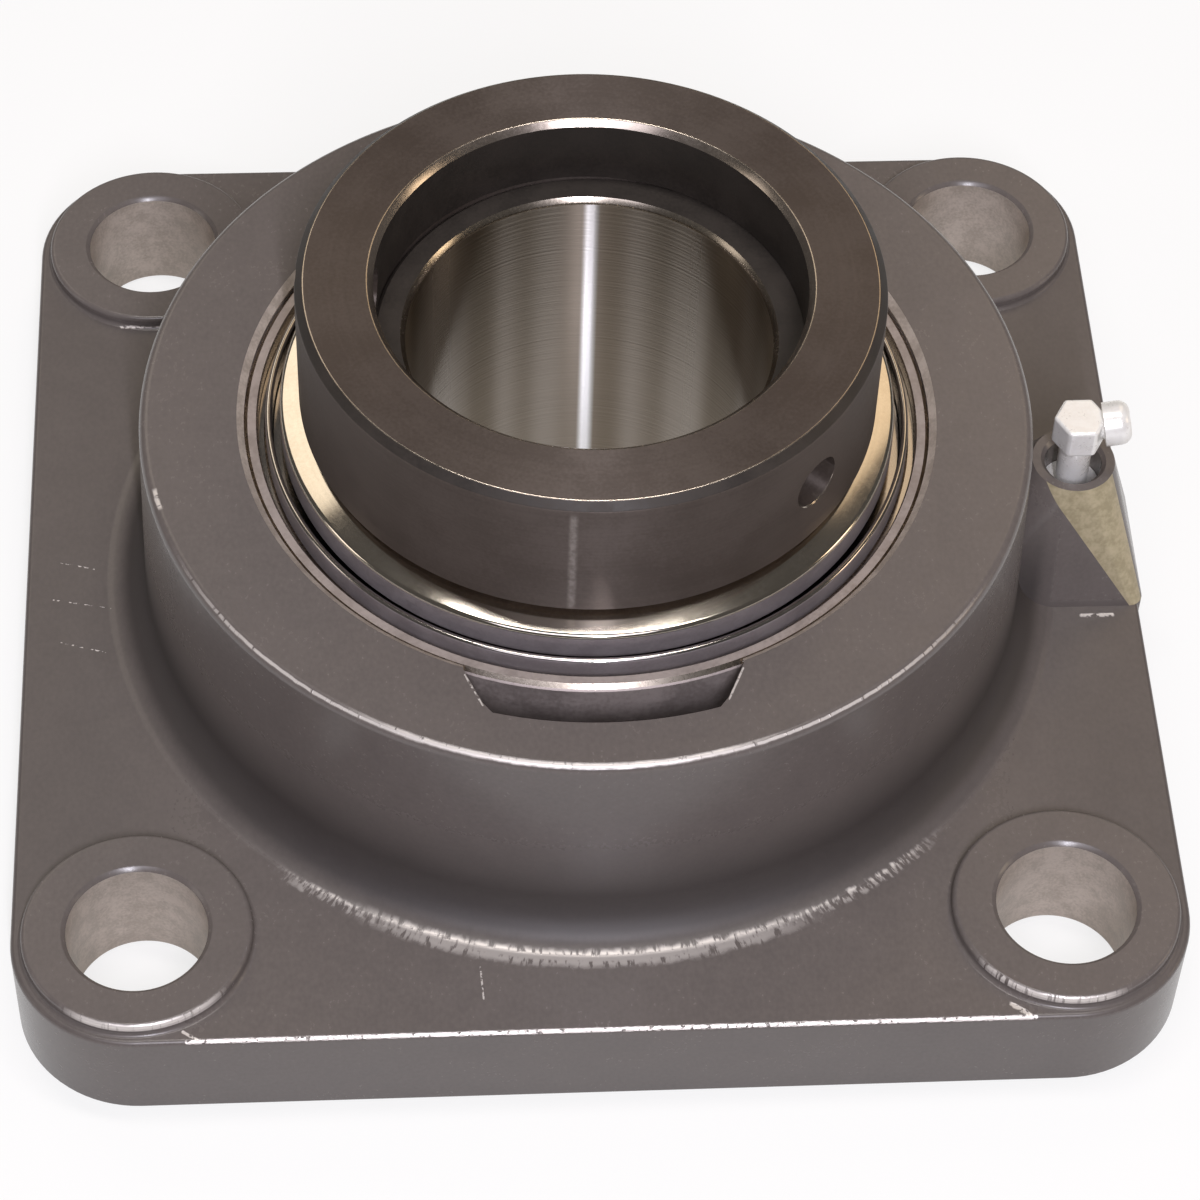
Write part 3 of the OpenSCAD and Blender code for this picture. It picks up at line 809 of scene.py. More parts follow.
# Nitrile rubber of the seal lips: black, dull and fine-grained.
SEAL_RUBBER = Finish("nitrile_rubber", "#1d1c1c", "#262524", 0.0, 0.6, patch_mm=2.0, grain_mm=0.25,
                     relief_mm=0.004)
# Bright zinc plate on the grease fitting: pale and nearly white in the light.
ZINC_PLATE = Finish("bright_zinc_plate", "#f2f1ec", "#fafaf6", 0.25, 0.3, patch_mm=1.5, grain_mm=0.3,
                    relief_mm=0.0006)
# Lapped chrome steel of the balls: a mirror.
BALL_STEEL = Finish("lapped_ball_steel", "#c8c6c4", "#d2d0ce", 1.0, 0.08, grain_mm=0.5, relief_mm=0.0002)
# Drawn spring wire, oiled grey.
SPRING_WIRE = Finish("drawn_spring_wire", "#9a9894", "#aaa8a4", 1.0, 0.3, patch_mm=1.0, grain_mm=0.2,
                     relief_mm=0.001)


@dataclass
class Housing:
    """The cast flange housing, with its barrel, seat, bolt pads and grease lug."""

    flange_w: float = 117
    flange_t: float = 11.6
    corner_r: float = 12.5
    edge_round: float = 0.55
    bolt_spacing: float = 92
    bolt_hole_d: float = 14
    pad_d: float = 22.8
    pad_h: float = 1.45
    pad_round: float = 0.5
    barrel_d: float = 90.5
    barrel_h: float = 36.5
    barrel_draft: float = 0.6
    face_round: float = 1
    foot_fillet: float = 4.6
    recess_d: float = 76
    recess_bevel: float = 1
    seat_r: float = 36.05
    seat_bevel: float = 0.9
    seat_back: float = 10.5
    seat_lip: float = 0.68
    centre_h: float = 26
    slot_w: float = 27
    slot_outer_w: float = 23.4
    slot_reach: float = 39.7
    slot_inner: float = 30
    lug_x: float = 50.9
    lug_y: float = 0.5
    lug_h: float = 26
    lug_top_d: float = 8.6
    lug_base_w: float = 16.4
    lug_bulge: float = 0.5
    lug_post_r: float = 1.5
    thread_d: float = 6
    thread_depth: float = 6.2
    passage_d: float = 2.4
    grease_offset: float = 6
    grease_r: float = 36

    def __post_init__(self) -> None:
        """Works out the plane that bounds the lug's painted highlight."""
        self.highlight_from = Vector((self.lug_x - 3.2, 0, self.lug_h))
        corner = Vector((self.flange_w / 2 + self.lug_bulge - 1.4, 0, self.flange_t))
        self.highlight_side = (corner - self.highlight_from).cross(Vector((0, 1, 0))).normalized()

    def plate(self) -> Workpiece:
        """Makes the square flange from a block, with round corners and soft edges.

        Returns:
            The flange.
        """
        deselect()
        half, t = self.flange_w / 2, self.flange_t
        bpy.ops.mesh.primitive_cube_add(size=1, location=(0, 0, t / 2 * MM),
                                        scale=(2 * half * MM, 2 * half * MM, t * MM))
        piece = Workpiece("housing_casting")
        piece.edges(lambda a, b: abs(a.z - b.z) > t / 2)
        piece.bevelled(self.corner_r, 20)
        piece.edges(lambda a, b: min(a.z, b.z) > t - 0.01)
        piece.bevelled(self.edge_round, 4)
        piece.edges(lambda a, b: max(a.z, b.z) < 0.01)
        return piece.bevelled(0.4, 2)

    def barrel(self) -> Workpiece:
        """Turns the barrel, from the foot fillet up to the rounded edge of its face.

        Returns:
            The barrel.
        """
        face_r = self.barrel_d / 2
        foot_r = face_r + self.barrel_draft
        t, f, sunk = self.flange_t, self.foot_fillet, 0.02
        return Workpiece.turned("barrel", [
            (0, 2), (foot_r + f, 2), *arc(foot_r + f, t + f - sunk, f, 270, 180, 12),
            *arc(face_r - self.face_round, self.barrel_h - self.face_round, self.face_round, 0, 90, 8),
            (0, self.barrel_h)])

    def pad(self) -> Workpiece:
        """Turns one bolt pad, with a small fillet at its foot and a rounded rim."""
        r, top, e = self.pad_d / 2, self.flange_t + self.pad_h, self.pad_round
        return Workpiece.turned("pad", [
            (0, 5), (r + e, 5), *arc(r + e, self.flange_t + e - 0.01, e, 270, 180, 5),
            *arc(r - e, top - e, e, 0, 90, 5), (0, top)], 96)

    def lug(self) -> Workpiece:
        """Wraps the grease lug round its spot face and its wide base.

        Returns:
            The lug, its faces split along the plane of the painted highlight.
        """
        piece = Workpiece.rod("lug", 64, self.lug_top_d / 2, 1, (self.lug_x, self.lug_y, self.lug_h - 0.5))
        r, t = self.lug_post_r, self.flange_t
        for side in (-1, 1):
            for x in (self.barrel_d / 2 - 6, self.flange_w / 2 + self.lug_bulge - r):
                y = self.lug_y + side * (self.lug_base_w / 2 - r)
                post = Workpiece.rod("post", 32, r, t / 2, (x, y, t * 0.75))
                piece.pick()
                post.obj.select_set(True)
                bpy.ops.object.join()
        with piece.editing():
            grab()
            bpy.ops.mesh.convex_hull()
            grab()
            bpy.ops.mesh.bisect(plane_co=self.highlight_from * MM, plane_no=self.highlight_side)
            grab()
            bpy.ops.mesh.normals_make_consistent(inside=False)
        return piece

    def cavity(self) -> Workpiece:
        """Turns the cutter of the spherical seat, its front bevel and the rear recess.

        Returns:
            The cutter.
        """
        mouth, r, c, h = self.recess_d / 2, self.seat_r, self.centre_h, self.barrel_h
        front_r = math.sqrt(r * r - (h - c) ** 2)
        start, end = (math.degrees(math.asin(z / r)) for z in (-self.seat_back, h - self.seat_lip - c))
        return Workpiece.turned("cavity", [
            (0, -1), (mouth + 1, -1), (mouth, 0), (mouth - self.recess_bevel, self.recess_bevel),
            *arc(0, c, r, start, end, 24),
            (front_r + self.seat_bevel, h), (front_r + self.seat_bevel + 1, h + 1), (0, h + 1)])

    def slot_cutter(self) -> Workpiece:
        """Raises the outline of one loading slot, with its curved outer wall.

        Returns:
            The slot's cutter.
        """
        w, o, inner = self.slot_w / 2, self.slot_outer_w / 2, self.slot_inner
        turn = math.degrees(math.acos(o / self.slot_reach)) + 1.2
        wall = arc(0, 0, self.slot_reach, turn, 180 - turn, 16)
        corner = wall[0][1] - 1.2
        return Workpiece.prism("slot", [
            (-w, inner), (w, inner), (w, inner + 3), (o + 0.1, corner), *wall, (-o - 0.1, corner),
            (-w, inner + 3)], self.centre_h, self.barrel_h + 1)

    def bolt_cutter(self) -> Workpiece:
        """Turns the cutter of one bolt hole, with a small flare at its mouth."""
        r, top = self.bolt_hole_d / 2, self.flange_t + self.pad_h
        return Workpiece.turned("bolt_hole", [
            (0, -1), (r + 1.3, -1), (r, 0.3), (r, top - 0.4), (r + 0.25, top - 0.12), (r + 0.45, top),
            (r + 1.45, top + 1), (0, top + 1)], 96)

    def grease_cutter(self) -> Workpiece:
        """Makes the cutter of the lug's tapped hole and of the passage down to the seat.

        Returns:
            The cutter.
        """
        r, top, floor = self.thread_d / 2, self.lug_h, self.lug_h - self.thread_depth
        hole = Workpiece.turned("tapped_hole", [
            (0, floor - 1), (r - 1, floor), (r, floor), (r, top - 0.4), (r + 0.8, top + 0.4),
            (0, top + 0.4)], 48)
        hole.moved(self.lug_x, self.lug_y)
        grease_z = self.centre_h - self.grease_offset
        grease_r = math.sqrt(self.grease_r ** 2 - self.grease_offset ** 2)
        rise, run = floor + 2 - grease_z, self.lug_x - grease_r
        length, b = math.hypot(rise, run) + 2, self.passage_d / 2
        tube = Workpiece.turned("passage", [(0, 0), (b, 0), (b, length), (0, length)], 32)
        tube.swung(math.degrees(math.atan2(run, rise)), "Y")
        tube.moved(grease_r - 2, self.lug_y, grease_z - 2 * rise / run)
        return hole.combined(tube, Cut.JOIN)

    def build(self) -> None:
        """Joins the cast forms, cuts the machined ones out of them, and dresses the casting."""
        paint, iron = CAST_PAINT.material(), BORED_IRON.material()
        body = self.plate().painted(paint)
        body.combined(self.barrel().painted(paint), Cut.JOIN)
        lug = self.lug().painted(paint)
        # Painted highlight: the lug's faces that look to the front and up, past the plane, are light ochre.
        lug.patched(LUG_HIGHLIGHT.material(), lambda p, n: n.y < -0.45 and n.z > 0.1
                    and (p - self.highlight_from).dot(self.highlight_side) > 0)
        body.combined(lug, Cut.JOIN)
        half = self.bolt_spacing / 2
        spots = [(x * half, y * half) for x in (-1, 1) for y in (-1, 1)]
        pad = self.pad().painted(paint)
        for x, y in spots:
            body.combined(pad.copied("pad_copy").moved(x, y), Cut.JOIN)
        body.combined(self.cavity().painted(iron), Cut.REMOVE)
        slot = self.slot_cutter().painted(paint)
        body.combined(slot.copied("slot_copy").swung(180, "Z"), Cut.REMOVE)
        body.combined(slot, Cut.REMOVE)
        mouth = self.flange_t + self.pad_h - 0.45
        hole = self.bolt_cutter().painted(iron).patched(paint, lambda p, n: p.z > mouth)
        for x, y in spots:
            body.combined(hole.copied("hole_copy").moved(x, y), Cut.REMOVE)
        body.combined(self.grease_cutter().painted(paint), Cut.REMOVE)
        for spare in (pad, hole):
            bpy.data.objects.remove(spare.obj)
        body.finished("housing", "housing", angle=30)


@dataclass
class GreaseFitting:
    """The elbow fitting in the lug, with its head tilted outwards."""

    x: float = 50.9
    y: float = 0.5
    seat_z: float = 26
    shank_r: float = 2.95
    shank_low: float = 20.1
    neck_d: float = 3.4
    neck_h: float = 3.2
    elbow_w: float = 4.9
    elbow_h: float = 3.6
    tilt: float = 10
    head_len: float = 5.3
    head_d: float = 4.6
    waist_d: float = 3.2
    bore_d: float = 2.2
    mouth_d: float = 1.4
    neck_sink: float = 3.4
    shoulder_at: float = 3.3
    shoulder_r: float = 0.5
    nose_r: float = 1.2

    def along_head(self, piece: Workpiece) -> Workpiece:
        """Lays an upright turned piece along the head's axis."""
        piece.swung(90 - self.tilt, "Y")
        return piece.moved(self.x, self.y, self.seat_z + self.neck_h + self.elbow_h / 2)

    def build(self) -> None:
        """Joins the shank, the hexagonal elbow and the head, and bores them."""
        zinc = ZINC_PLATE.material()
        top, low, sunk = self.seat_z + self.neck_h, self.shank_low, self.seat_z - self.neck_sink
        r, neck_r = self.shank_r, self.neck_d / 2
        body = Workpiece.turned("grease_elbow", [
            (0, low), (r - 0.6, low), (r, low + 0.6), (r, sunk), (neck_r + 0.2, sunk + 0.2),
            (neck_r, sunk + 0.4), (neck_r, top + 0.2), (0, top + 0.2)], 48)
        body.moved(self.x, self.y)
        elbow = Workpiece.rod("elbow", 6, self.elbow_w / math.cos(math.pi / 6) / 2, self.elbow_h,
                              (self.x, self.y, top + self.elbow_h / 2), 90)
        elbow.edges(lambda a, b: True)
        body.combined(elbow.bevelled(0.35, 3), Cut.JOIN)
        r, w, n = self.head_d / 2, self.waist_d / 2, self.head_len
        at, e, nose = n - self.shoulder_at, self.shoulder_r, self.nose_r
        head = Workpiece.turned("head", [
            (0, 0), (w, 0), (w, at - 0.6), *arc(r - e, at, e, 170, 90, 4), (r, at + e), (r, n - nose),
            *arc(r - nose, n - nose, nose, 0, 70, 5), (0, n)], 48)
        body.combined(self.along_head(head), Cut.JOIN)
        b, m = self.bore_d / 2, self.mouth_d / 2
        bore = Workpiece.turned("bore", [
            (0, 0), (b, 0), (b, n - 1), (m, n - 0.5), (m, n + 1), (0, n + 1)], 32)
        body.combined(self.along_head(bore), Cut.REMOVE)
        body.painted(zinc).finished("housing", "grease_fitting", angle=35)


@dataclass
class BallBearing:
    """The insert: rings, seals and flingers, with the CAD's own balls and cage between them."""

    centre_h: float = 26
    seat_r: float = 36
    ring_w: float = 19
    bore_d: float = 36.5125
    ball_d: float = 11.112
    pitch_d: float = 53.5
    groove_share: float = 0.52
    ball_clear: float = 0.05
    inner_groove_depth: float = 2.25
    outer_groove_depth: float = 2
    inner_top: float = 47.6
    inner_back: float = 18.5
    bore_bevel: float = 0.5
    ring_bevel: float = 0.4
    grease_offset: float = 6
    grease_groove_w: float = 2.4
    grease_groove_depth: float = 0.6
    rim_w: float = 1.4
    seal_depth: float = 2.4
    sheet_t: float = 0.7
    retainer_gap: float = 0.8
    retainer_rise: float = 1.1
    lip_w: float = 2.4
    lip_t: float = 1.5
    lip_clear: float = 0.3
    flinger_d: float = 62
    flinger_fall: float = 0.8
    flinger_rim: float = 3.0
    flinger_flat: float = 4.2
    shoulder_top: float = 39.6
    land_d: float = 44.4
    eccentricity: float = 0.9
    thick_side: float = -43.7

    def __post_init__(self) -> None:
        """Works out the radii that the pieces share."""
        ball_r, pitch_r = self.ball_d / 2, self.pitch_d / 2
        self.half = self.ring_w / 2
        self.groove_r = self.ball_d * self.groove_share
        self.inner_r = pitch_r - ball_r - self.ball_clear + self.inner_groove_depth
        self.outer_r = pitch_r + ball_r + self.ball_clear - self.outer_groove_depth
        self.inner_at = pitch_r - ball_r - self.ball_clear + self.groove_r
        self.outer_at = pitch_r + ball_r + self.ball_clear - self.groove_r
        self.face_r = math.sqrt(self.seat_r ** 2 - self.half ** 2)
        self.seal_r = self.face_r - self.rim_w
        self.flinger_top = self.shoulder_top - self.centre_h - 0.3

    def placed(self, piece: Workpiece, side: Side) -> Workpiece:
        """Puts a piece made for the front at the front or, turned over, at the rear.

        Args:
            piece: The piece, made round the insert's centre.
            side: Where it goes.

        Returns:
            The piece.
        """
        if side is Side.REAR:
            piece.swung(180, "X")
        return piece.moved(0, 0, self.centre_h)

    def seat(self, low: float, high: float, after: float, past: float, steps: int) -> list[Point]:
        """Gives the points of the spherical outside between two heights from its centre.

        Args:
            low: The lower height.
            high: The upper height.
            after: Degrees by which the stretch starts after the lower height.
            past: Degrees by which it ends past the upper height.
            steps: Number of chords.

        Returns:
            The points, from the lower to the upper.
        """
        start, end = (math.degrees(math.asin(z / self.seat_r)) for z in (low, high))
        return arc(0, 0, self.seat_r, start + after, end + past, steps)

    def outer_ring(self) -> None:
        """Turns the outer ring: spherical outside, grease groove, seal seats and ball groove."""
        f, h, b, s = self.face_r, self.half, self.ring_bevel, self.seal_r
        floor = h - self.seal_depth
        low, high = (side * self.grease_groove_w / 2 - self.grease_offset for side in (-1, 1))
        bottom = math.sqrt(self.seat_r ** 2 - self.grease_offset ** 2) - self.grease_groove_depth
        away = math.sqrt(self.groove_r ** 2 - (self.outer_r - self.outer_at) ** 2)
        bend = math.degrees(math.atan2(away, self.outer_r - self.outer_at))
        outline = [(f - b, -h), (f, -h + b), *self.seat(-h + b, low, 0.3, 0, 8),
                   (bottom, low), (bottom, high), *self.seat(high, h - b, 0, -0.3, 24),
                   (f, h - b), (f - b, h), (s + 0.15, h), (s, h - 0.15), (s, floor),
                   (self.outer_r, floor), *arc(self.outer_at, 0, self.groove_r, bend, -bend, 20),
                   (self.outer_r, -floor), (s, -floor), (s, -h + 0.15), (s + 0.15, -h)]
        piece = Workpiece.turned("outer_ring_steel", outline).moved(0, 0, self.centre_h).painted(self.ground)
        piece.patched(SEAT_STEEL.material(), lambda p, n: p.xy.length > f + 0.03
                      or abs(n.z) > 0.9 and p.xy.length > s + 0.1)
        piece.finished("outer_ring", "outer_ring", angle=25)

    def inner_ring(self) -> None:
        """Turns the inner ring and its eccentric land, and bores them."""
        back, top, b, r = self.centre_h - self.inner_back, self.inner_top, self.ring_bevel, self.bore_d / 2
        away = math.sqrt(self.groove_r ** 2 - (self.inner_at - self.inner_r) ** 2)
        bend = math.degrees(math.atan2(away, self.inner_r - self.inner_at))
        groove = arc(self.inner_at, self.centre_h, self.groove_r, -bend, bend - 360, 20)
        ring = Workpiece.turned("inner_ring_steel", [
            (14, back), (self.inner_r - b, back), (self.inner_r, back + b), *groove,
            (self.inner_r, self.shoulder_top - b), (self.inner_r - b, self.shoulder_top),
            (14, self.shoulder_top)])
        land_r = self.land_d / 2
        land = Workpiece.turned("land", [(15, self.shoulder_top - 1), (land_r, self.shoulder_top - 1),
                                         (land_r, top - b), (land_r - b, top), (15, top)])
        land.moved(self.eccentricity).swung(self.thick_side, "Z")
        ring.combined(land, Cut.JOIN)
        c = self.bore_bevel
        bore = Workpiece.turned("bore", [
            (0, back - 1), (r + c + 1, back - 1), (r + c, back), (r + 0.1, back + c - 0.1),
            (r, back + c + 0.15),
            (r, top - c - 0.15), (r + 0.1, top - c + 0.1), (r + c, top), (r + c + 1, top + 1), (0, top + 1)])
        ring.combined(bore, Cut.REMOVE).painted(self.ground)
        ring.patched(HONED_BORE.material(), lambda p, n: p.xy.length < r + 0.02)
        # Painted shade: the ring's end face, deep in the collar, is nearly black.
        ring.patched(DULL_BLACK_AND_SHADE.material(), lambda p, n: p.z > self.shoulder_top + 1 and p.xy.length > r + c)
        ring.patched(self.ground, lambda p, n: p.z > top - c - 0.2 and r + 0.02 < p.xy.length < r + c)
        ring.finished("inner_ring", "inner_ring", angle=25)

    def retainer(self, side: Side) -> None:
        """Turns a seal retainer with its rolled rim.

        Args:
            side: The side that it is for.
        """
        base, t = self.half - self.seal_depth + 0.05, self.sheet_t
        rim, outer = self.seal_r - self.retainer_gap, self.seal_r - 0.05
        inner = self.inner_r + self.lip_clear + self.lip_w
        top = self.half + self.retainer_rise
        piece = Workpiece.turned("seal_shield_" + side.name.lower(), [
            (inner, base), (outer - 0.15, base), (outer, base + 0.15), (outer, base + t),
            (rim + 0.2, base + t), (rim, base + t + 0.2), (rim, top - t / 2),
            *arc(rim - t / 2, top - t / 2, t / 2, 0, 180, 6),
            (rim - t, base + t + 0.1), (rim - t - 0.1, base + t), (inner, base + t)])
        node = side.name.lower() + "_seal_retainer"
        piece.painted(self.rolled)
        piece.patched(self.sheared, lambda p, n: p.xy.length > rim - 0.05 and abs(n.z) < 0.3)
        self.placed(piece, side).finished("outer_ring", node, angle=40)

    def lip(self, side: Side) -> None:
        """Turns the rubber lip inside a retainer.

        Args:
            side: The side that it is for.
        """
        base, r = self.half - self.seal_depth - 0.25, self.inner_r + self.lip_clear
        w, t = self.lip_w, self.lip_t
        piece = Workpiece.turned("seal_lip_" + side.name.lower(), [
            (r + w, base), (r + w, base + t), (r + w * 0.4, base + t), (r, base + t * 0.8),
            (r, base + t * 0.5), (r + w * 0.3, base)])
        node = side.name.lower() + "_seal_lip"
        self.placed(piece, side).painted(self.rubber).finished("outer_ring", node)

    def flinger(self, side: Side) -> None:
        """Turns a flinger: hub, flat, conical band and turned-down rim, bent from one sheet.

        Args:
            side: The side that it is for.
        """
        hub, top, t, r = self.inner_r + 0.05, self.flinger_top, self.sheet_t, self.flinger_d / 2
        flat, low = self.inner_r + self.flinger_flat, self.flinger_top - self.flinger_fall
        piece = Workpiece.turned("flinger_" + side.name.lower(), [
            (hub, top - 3), (hub, top - 0.3), (hub + 0.3, top), (flat - 0.4, top), (flat + 0.4, top - 0.06),
            *arc(r - 0.55, low - 0.5, 0.55, 80, 0, 6), (r, low - self.flinger_rim),
            (r - t, low - self.flinger_rim), (r - t, low - 0.75), (flat - 0.1, top - t), (hub + t, top - t),
            (hub + t, top - 3)])
        node = side.name.lower() + "_flinger"
        piece.painted(self.pressed).patched(self.sheared, lambda p, n: p.xy.length > r - t and abs(n.z) < 0.3)
        self.placed(piece, side).finished("inner_ring", node, angle=40)

    def build(self) -> None:
        """Builds the rings, seals and flingers, and dresses the CAD's balls and cage."""
        self.rolled, self.pressed = ROLLED_SHEET.material(), PRESSED_SHEET.material()
        self.sheared, self.rubber = SHEARED_EDGE.material(), SEAL_RUBBER.material()
        self.ground = GROUND_STEEL.material()
        self.outer_ring()
        self.inner_ring()
        for side in Side:
            self.retainer(side)
            self.lip(side)
            self.flinger(side)
        ball = BALL_STEEL.material()
        dress({f"ball_{n}": ball for n in range(1, 10)})
        dress({"front_cage_half": self.rolled, "rear_cage_half": self.rolled, "cage_rivets": self.rolled})


@dataclass
class LockingCollar:
    """The eccentric collar and its set screw."""

    outer_r: float = 29
    bottom: float = 39.9
    top: float = 55.7
    bore_r: float = 21.3
    bevel: float = 0.8
    mouth_bevel: float = 0.6
    eccentricity: float = 0.9
    thick_side: float = -43.7
    socket_r: float = 22.5
    socket_top: float = 47.9
    drift_d: float = 5.6
    drift_depth: float = 3.2
    screw_angle: float = -140
    screw_r: float = 3
    screw_len: float = 6
    screw_tip: float = 21.8
    key_r: float = 1.5
    key_len: float = 5.2

    def radial(self, piece: Workpiece, angle: float, out: float, height: float) -> Workpiece:
        """Lays an upright turned piece along a radius of the collar."""
        piece.swung(90, "Y").moved(out, 0, height)
        return piece.swung(angle, "Z")

    def collar(self) -> None:
        """Turns the collar, and cuts its eccentric socket, drift hole and screw hole."""
        r, b, c, m, top = self.outer_r, self.bore_r, self.bevel, self.mouth_bevel, self.top
        e, back = 0.3, 0.3 * (math.sqrt(2) - 1)
        piece = Workpiece.turned("locking_collar_steel", [
            (b, self.bottom), (r - c / 2, self.bottom), (r, self.bottom + c / 2),
            *arc(r - e, top - c - back, e, 0, 45, 3), *arc(r - c - back, top - e, e, 45, 90, 4),
            *arc(b + m + back, top - e, e, 90, 135, 3), (b, top - m - 0.05)], 256)
        socket = Workpiece.turned("socket", [(0, self.bottom - 1), (self.socket_r, self.bottom - 1),
                                             (self.socket_r, self.socket_top), (0, self.socket_top)], 256)
        socket.moved(self.eccentricity).swung(self.thick_side, "Z")
        piece.combined(socket, Cut.REMOVE)
        d, depth = self.drift_d / 2, self.drift_depth
        drift = Workpiece.turned("drift", [
            (0, -0.9), (d, 0), (d, depth - 0.15), (d + 0.6, depth + 0.6), (0, depth + 1)], 64)
        self.radial(drift, self.thick_side, r - depth, (self.bottom + self.top) / 2)
        piece.combined(drift, Cut.REMOVE)
        s, run = self.screw_r + 0.05, r - 16
        hole = Workpiece.turned("screw_hole", [
            (0, 0), (s, 0), (s, run - 0.3), (s + 0.8, run + 0.5), (0, run + 0.5)], 64)
        height = (self.socket_top + self.top) / 2
        piece.combined(self.radial(hole, self.thick_side + self.screw_angle, 16, height), Cut.REMOVE)
        piece.painted(self.blacked)
        # Painted shade: the collar's bore is nearly black, and so is its outer top chamfer.
        piece.patched(DULL_BLACK_AND_SHADE.material(), lambda p, n: p.xy.length < b + 0.02
                      or p.z > top - c - back and p.xy.length > r - c and 0.6 < n.z < 0.8)
        edge, middle, side = r - c - back - e, (self.bottom + self.top) / 2, math.radians(self.thick_side)
        rubbed = RUBBED_EDGE.material()
        piece.patched(rubbed, lambda p, n: top - e < p.z < top - 0.001 and edge < p.xy.length < r - c + 0.05
                      or p.z > top - m - 0.1 and b + 0.03 < p.xy.length < b + m + 0.1)
        piece.patched(rubbed, lambda p, n: r - 0.6 < p.xy.length < r - 0.02 and abs(p.z - middle) < d + 0.6
                      and abs(math.atan2(p.y, p.x) - side) < 0.12)
        piece.finished("locking_collar", "locking_collar", angle=25)

    def screw(self) -> None:
        """Turns the set screw and broaches its hexagonal socket."""
        r, n = self.screw_r, self.screw_len
        piece = Workpiece.turned("set_screw_steel", [
            (0, 0), (r - 0.8, 0), (r, 0.8), (r, n - 0.4), (r - 0.4, n), (0, n)], 64)
        key = Workpiece.rod("hex", 6, self.key_r / math.cos(math.pi / 6), self.key_len, (0, 0, n))
        piece.combined(key, Cut.REMOVE)
        height = (self.socket_top + self.top) / 2
        self.radial(piece, self.thick_side + self.screw_angle, self.screw_tip, height)
        piece.painted(self.blacked).finished("set_screw", "set_screw", angle=30)

    def build(self) -> None:
        """Builds the collar and its screw in one finish."""
        self.blacked = BLACKED_STEEL.material()
        self.collar()
        self.screw()


def dress(nodes: dict[str, Material]) -> None:
    """Puts a material on CAD nodes whose shape is already right.

    Args:
        nodes: Each node's name and its material.
    """
    for name, material in nodes.items():
        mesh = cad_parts[name].data
        mesh.materials.clear()
        mesh.materials.append(material)
        log.info("%s keeps its CAD shape, in %s", name, material.name)


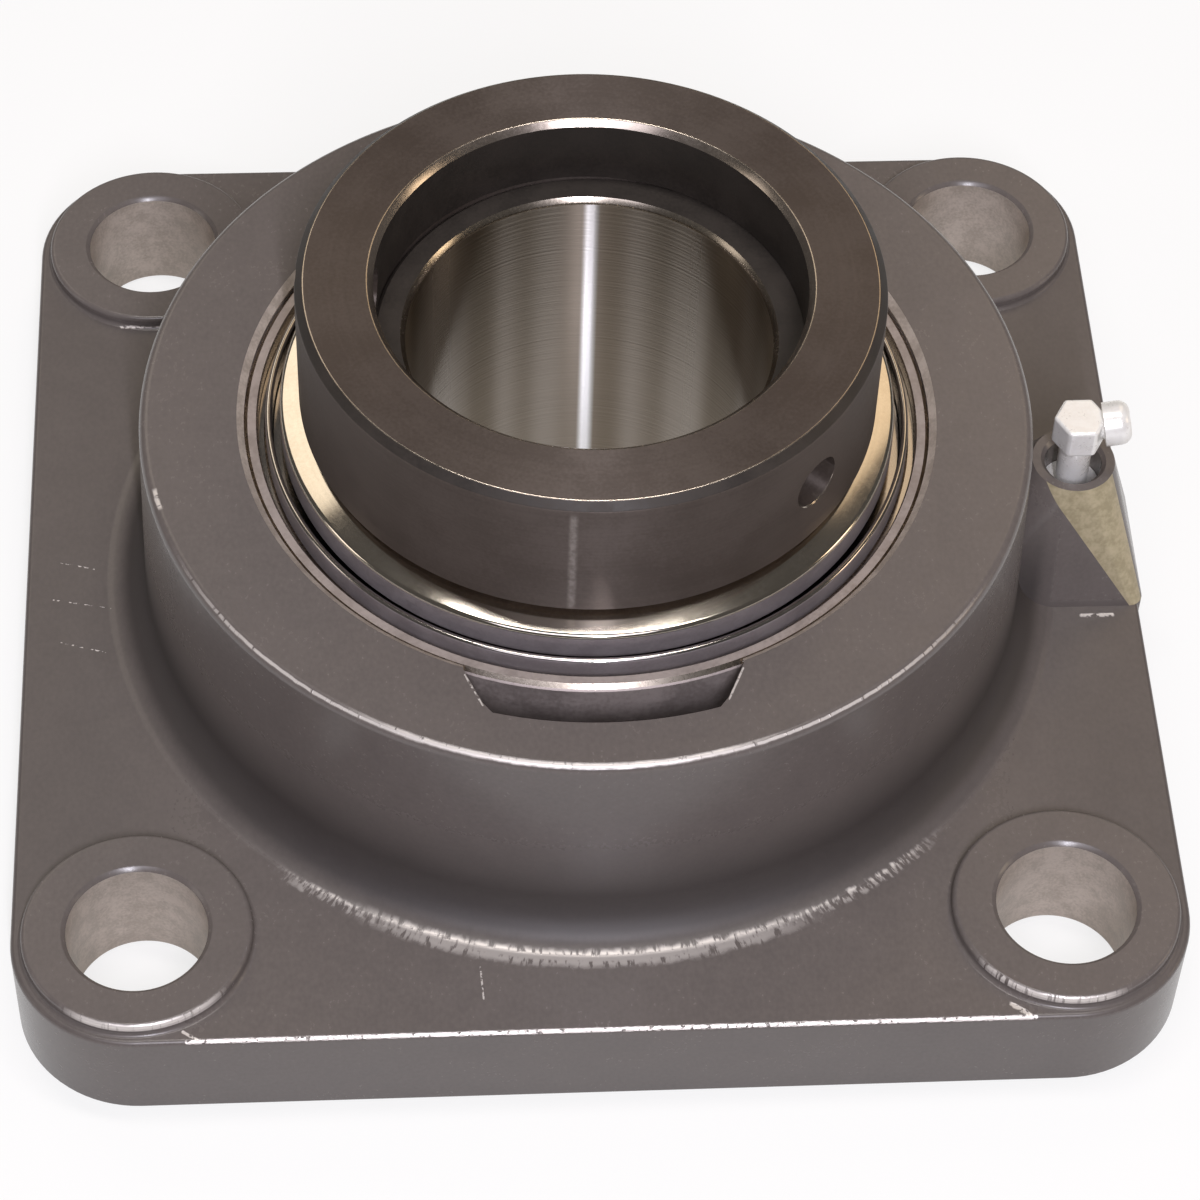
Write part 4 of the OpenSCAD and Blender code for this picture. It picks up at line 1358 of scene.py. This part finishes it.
@dataclass
class Studio:
    """The pale floor, the soft lamps and the portrait camera."""

    LAMPS = (
        ("front_softbox", (-60, -560, 760), (620, 380), 2.0, "#f4f1ff"),
        ("key_strip", (36, -640, 640), (20, 340), 4.6, "#f7f4ff"),
        ("top_softbox", (20, 60, 900), (460, 80), 2.6, "#fffaf5"),
        ("right_softbox", (760, -60, 330), (160, 220), 0.5, "#ffe6c4"),
        ("left_softbox", (-760, -60, 330), (200, 260), 0.3, "#fff4e8"),
        ("back_right_softbox", (330, 580, 640), (360, 420), 0.55, "#ffe3bd"),
        ("back_left_softbox", (-330, 580, 640), (360, 420), 0.7, "#fff1dc"),
    )

    focal_px: float = 4054.4
    frame_px: float = 1200
    sensor_mm: float = 36
    camera_at: Place = (-20.31, -268.76, 346.37)
    camera_right: Place = (0.99838, -0.05092, 0.02547)
    camera_up: Place = (0.02422, 0.78478, 0.61931)
    camera_back: Place = (-0.05152, -0.61769, 0.78474)
    floor_w: float = 6000
    floor_bounce: str = "#a8a39f"
    floor_seen: str = "#f6f5f4"
    floor_glow: float = 0.75
    lamp_aim: Place = (0, 0, 30)
    sky_colour: str = "#d9d4cf"
    sky_strength: float = 0.12

    def floor(self) -> None:
        """Lays a plain floor that is white to the camera and in reflections, and keeps the shadow."""
        deselect()
        bpy.ops.mesh.primitive_grid_add(x_subdivisions=4, y_subdivisions=4, size=self.floor_w * MM)
        piece = Workpiece("floor")
        n = Nodes("pale_floor")
        seen = n.add("LightPath").node.outputs
        direct = n.fold("MAXIMUM", [seen[f"Is {kind} Ray"] for kind in ("Camera", "Glossy", "Transmission")])
        tone = n.mix(direct, linear(self.floor_bounce), linear(self.floor_seen))
        matt = n.add("BsdfDiffuse", {"Color": tone})
        white = n.add("Emission", {"Color": (1, 1, 1, 1), "Strength": 1.0})
        share = n.maths("MULTIPLY", direct, self.floor_glow)
        n.add("OutputMaterial", {"Surface": n.add("MixShader", {0: share, 1: matt, 2: white})})
        piece.painted(n.made)

    def lamp(self, name: str, place: Sequence[float], size: Sequence[float], watts: float,
             colour: str) -> None:
        """Hangs a soft lamp that faces the bearing.

        Args:
            name: The lamp's name.
            place: Its place, in millimetres.
            size: Its width and height, in millimetres.
            watts: Its power.
            colour: Its sRGB hex colour.
        """
        data = bpy.data.lights.new(name, "AREA")
        data.shape, data.size, data.size_y = "RECTANGLE", size[0] * MM, size[1] * MM
        data.energy, data.color = watts, linear(colour)[:3]
        obj = bpy.data.objects.new(name, data)
        bpy.context.scene.collection.objects.link(obj)
        spot = Vector(place) * MM
        turn = (spot - Vector(self.lamp_aim) * MM).to_track_quat("Z", "Y").to_matrix().to_4x4()
        obj.matrix_world = Matrix.Translation(spot) @ turn

    def camera(self) -> None:
        """Sets the camera at the portrait's viewing angle."""
        data = bpy.data.cameras.new("portrait")
        data.sensor_width = self.sensor_mm
        data.lens = self.focal_px / self.frame_px * self.sensor_mm
        data.clip_start, data.clip_end = 0.01, 20
        obj = bpy.data.objects.new("portrait", data)
        bpy.context.scene.collection.objects.link(obj)
        turn = Matrix((self.camera_right, self.camera_up, self.camera_back)).transposed().to_4x4()
        obj.matrix_world = Matrix.Translation(Vector(self.camera_at) * MM) @ turn
        bpy.context.scene.camera = obj

    def build(self) -> None:
        """Sets up the stage."""
        self.floor()
        self.camera()
        for lamp in self.LAMPS:
            self.lamp(*lamp)
        world = bpy.data.worlds.new("room")
        world.use_nodes = True
        sky = world.node_tree.nodes["Background"]
        sky.inputs["Color"].default_value = linear(self.sky_colour)
        sky.inputs["Strength"].default_value = self.sky_strength
        bpy.context.scene.world = world
        bpy.context.scene.view_settings.view_transform = "Standard"


def main() -> None:
    logging.basicConfig(level=logging.INFO, format="%(name)s: %(message)s")
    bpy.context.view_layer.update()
    Studio().build()
    Housing().build()
    GreaseFitting().build()
    BallBearing().build()
    LockingCollar().build()
    dress({"check_ball": BALL_STEEL.material(), "check_spring": SPRING_WIRE.material()})


if __name__ == "__main__":
    main()
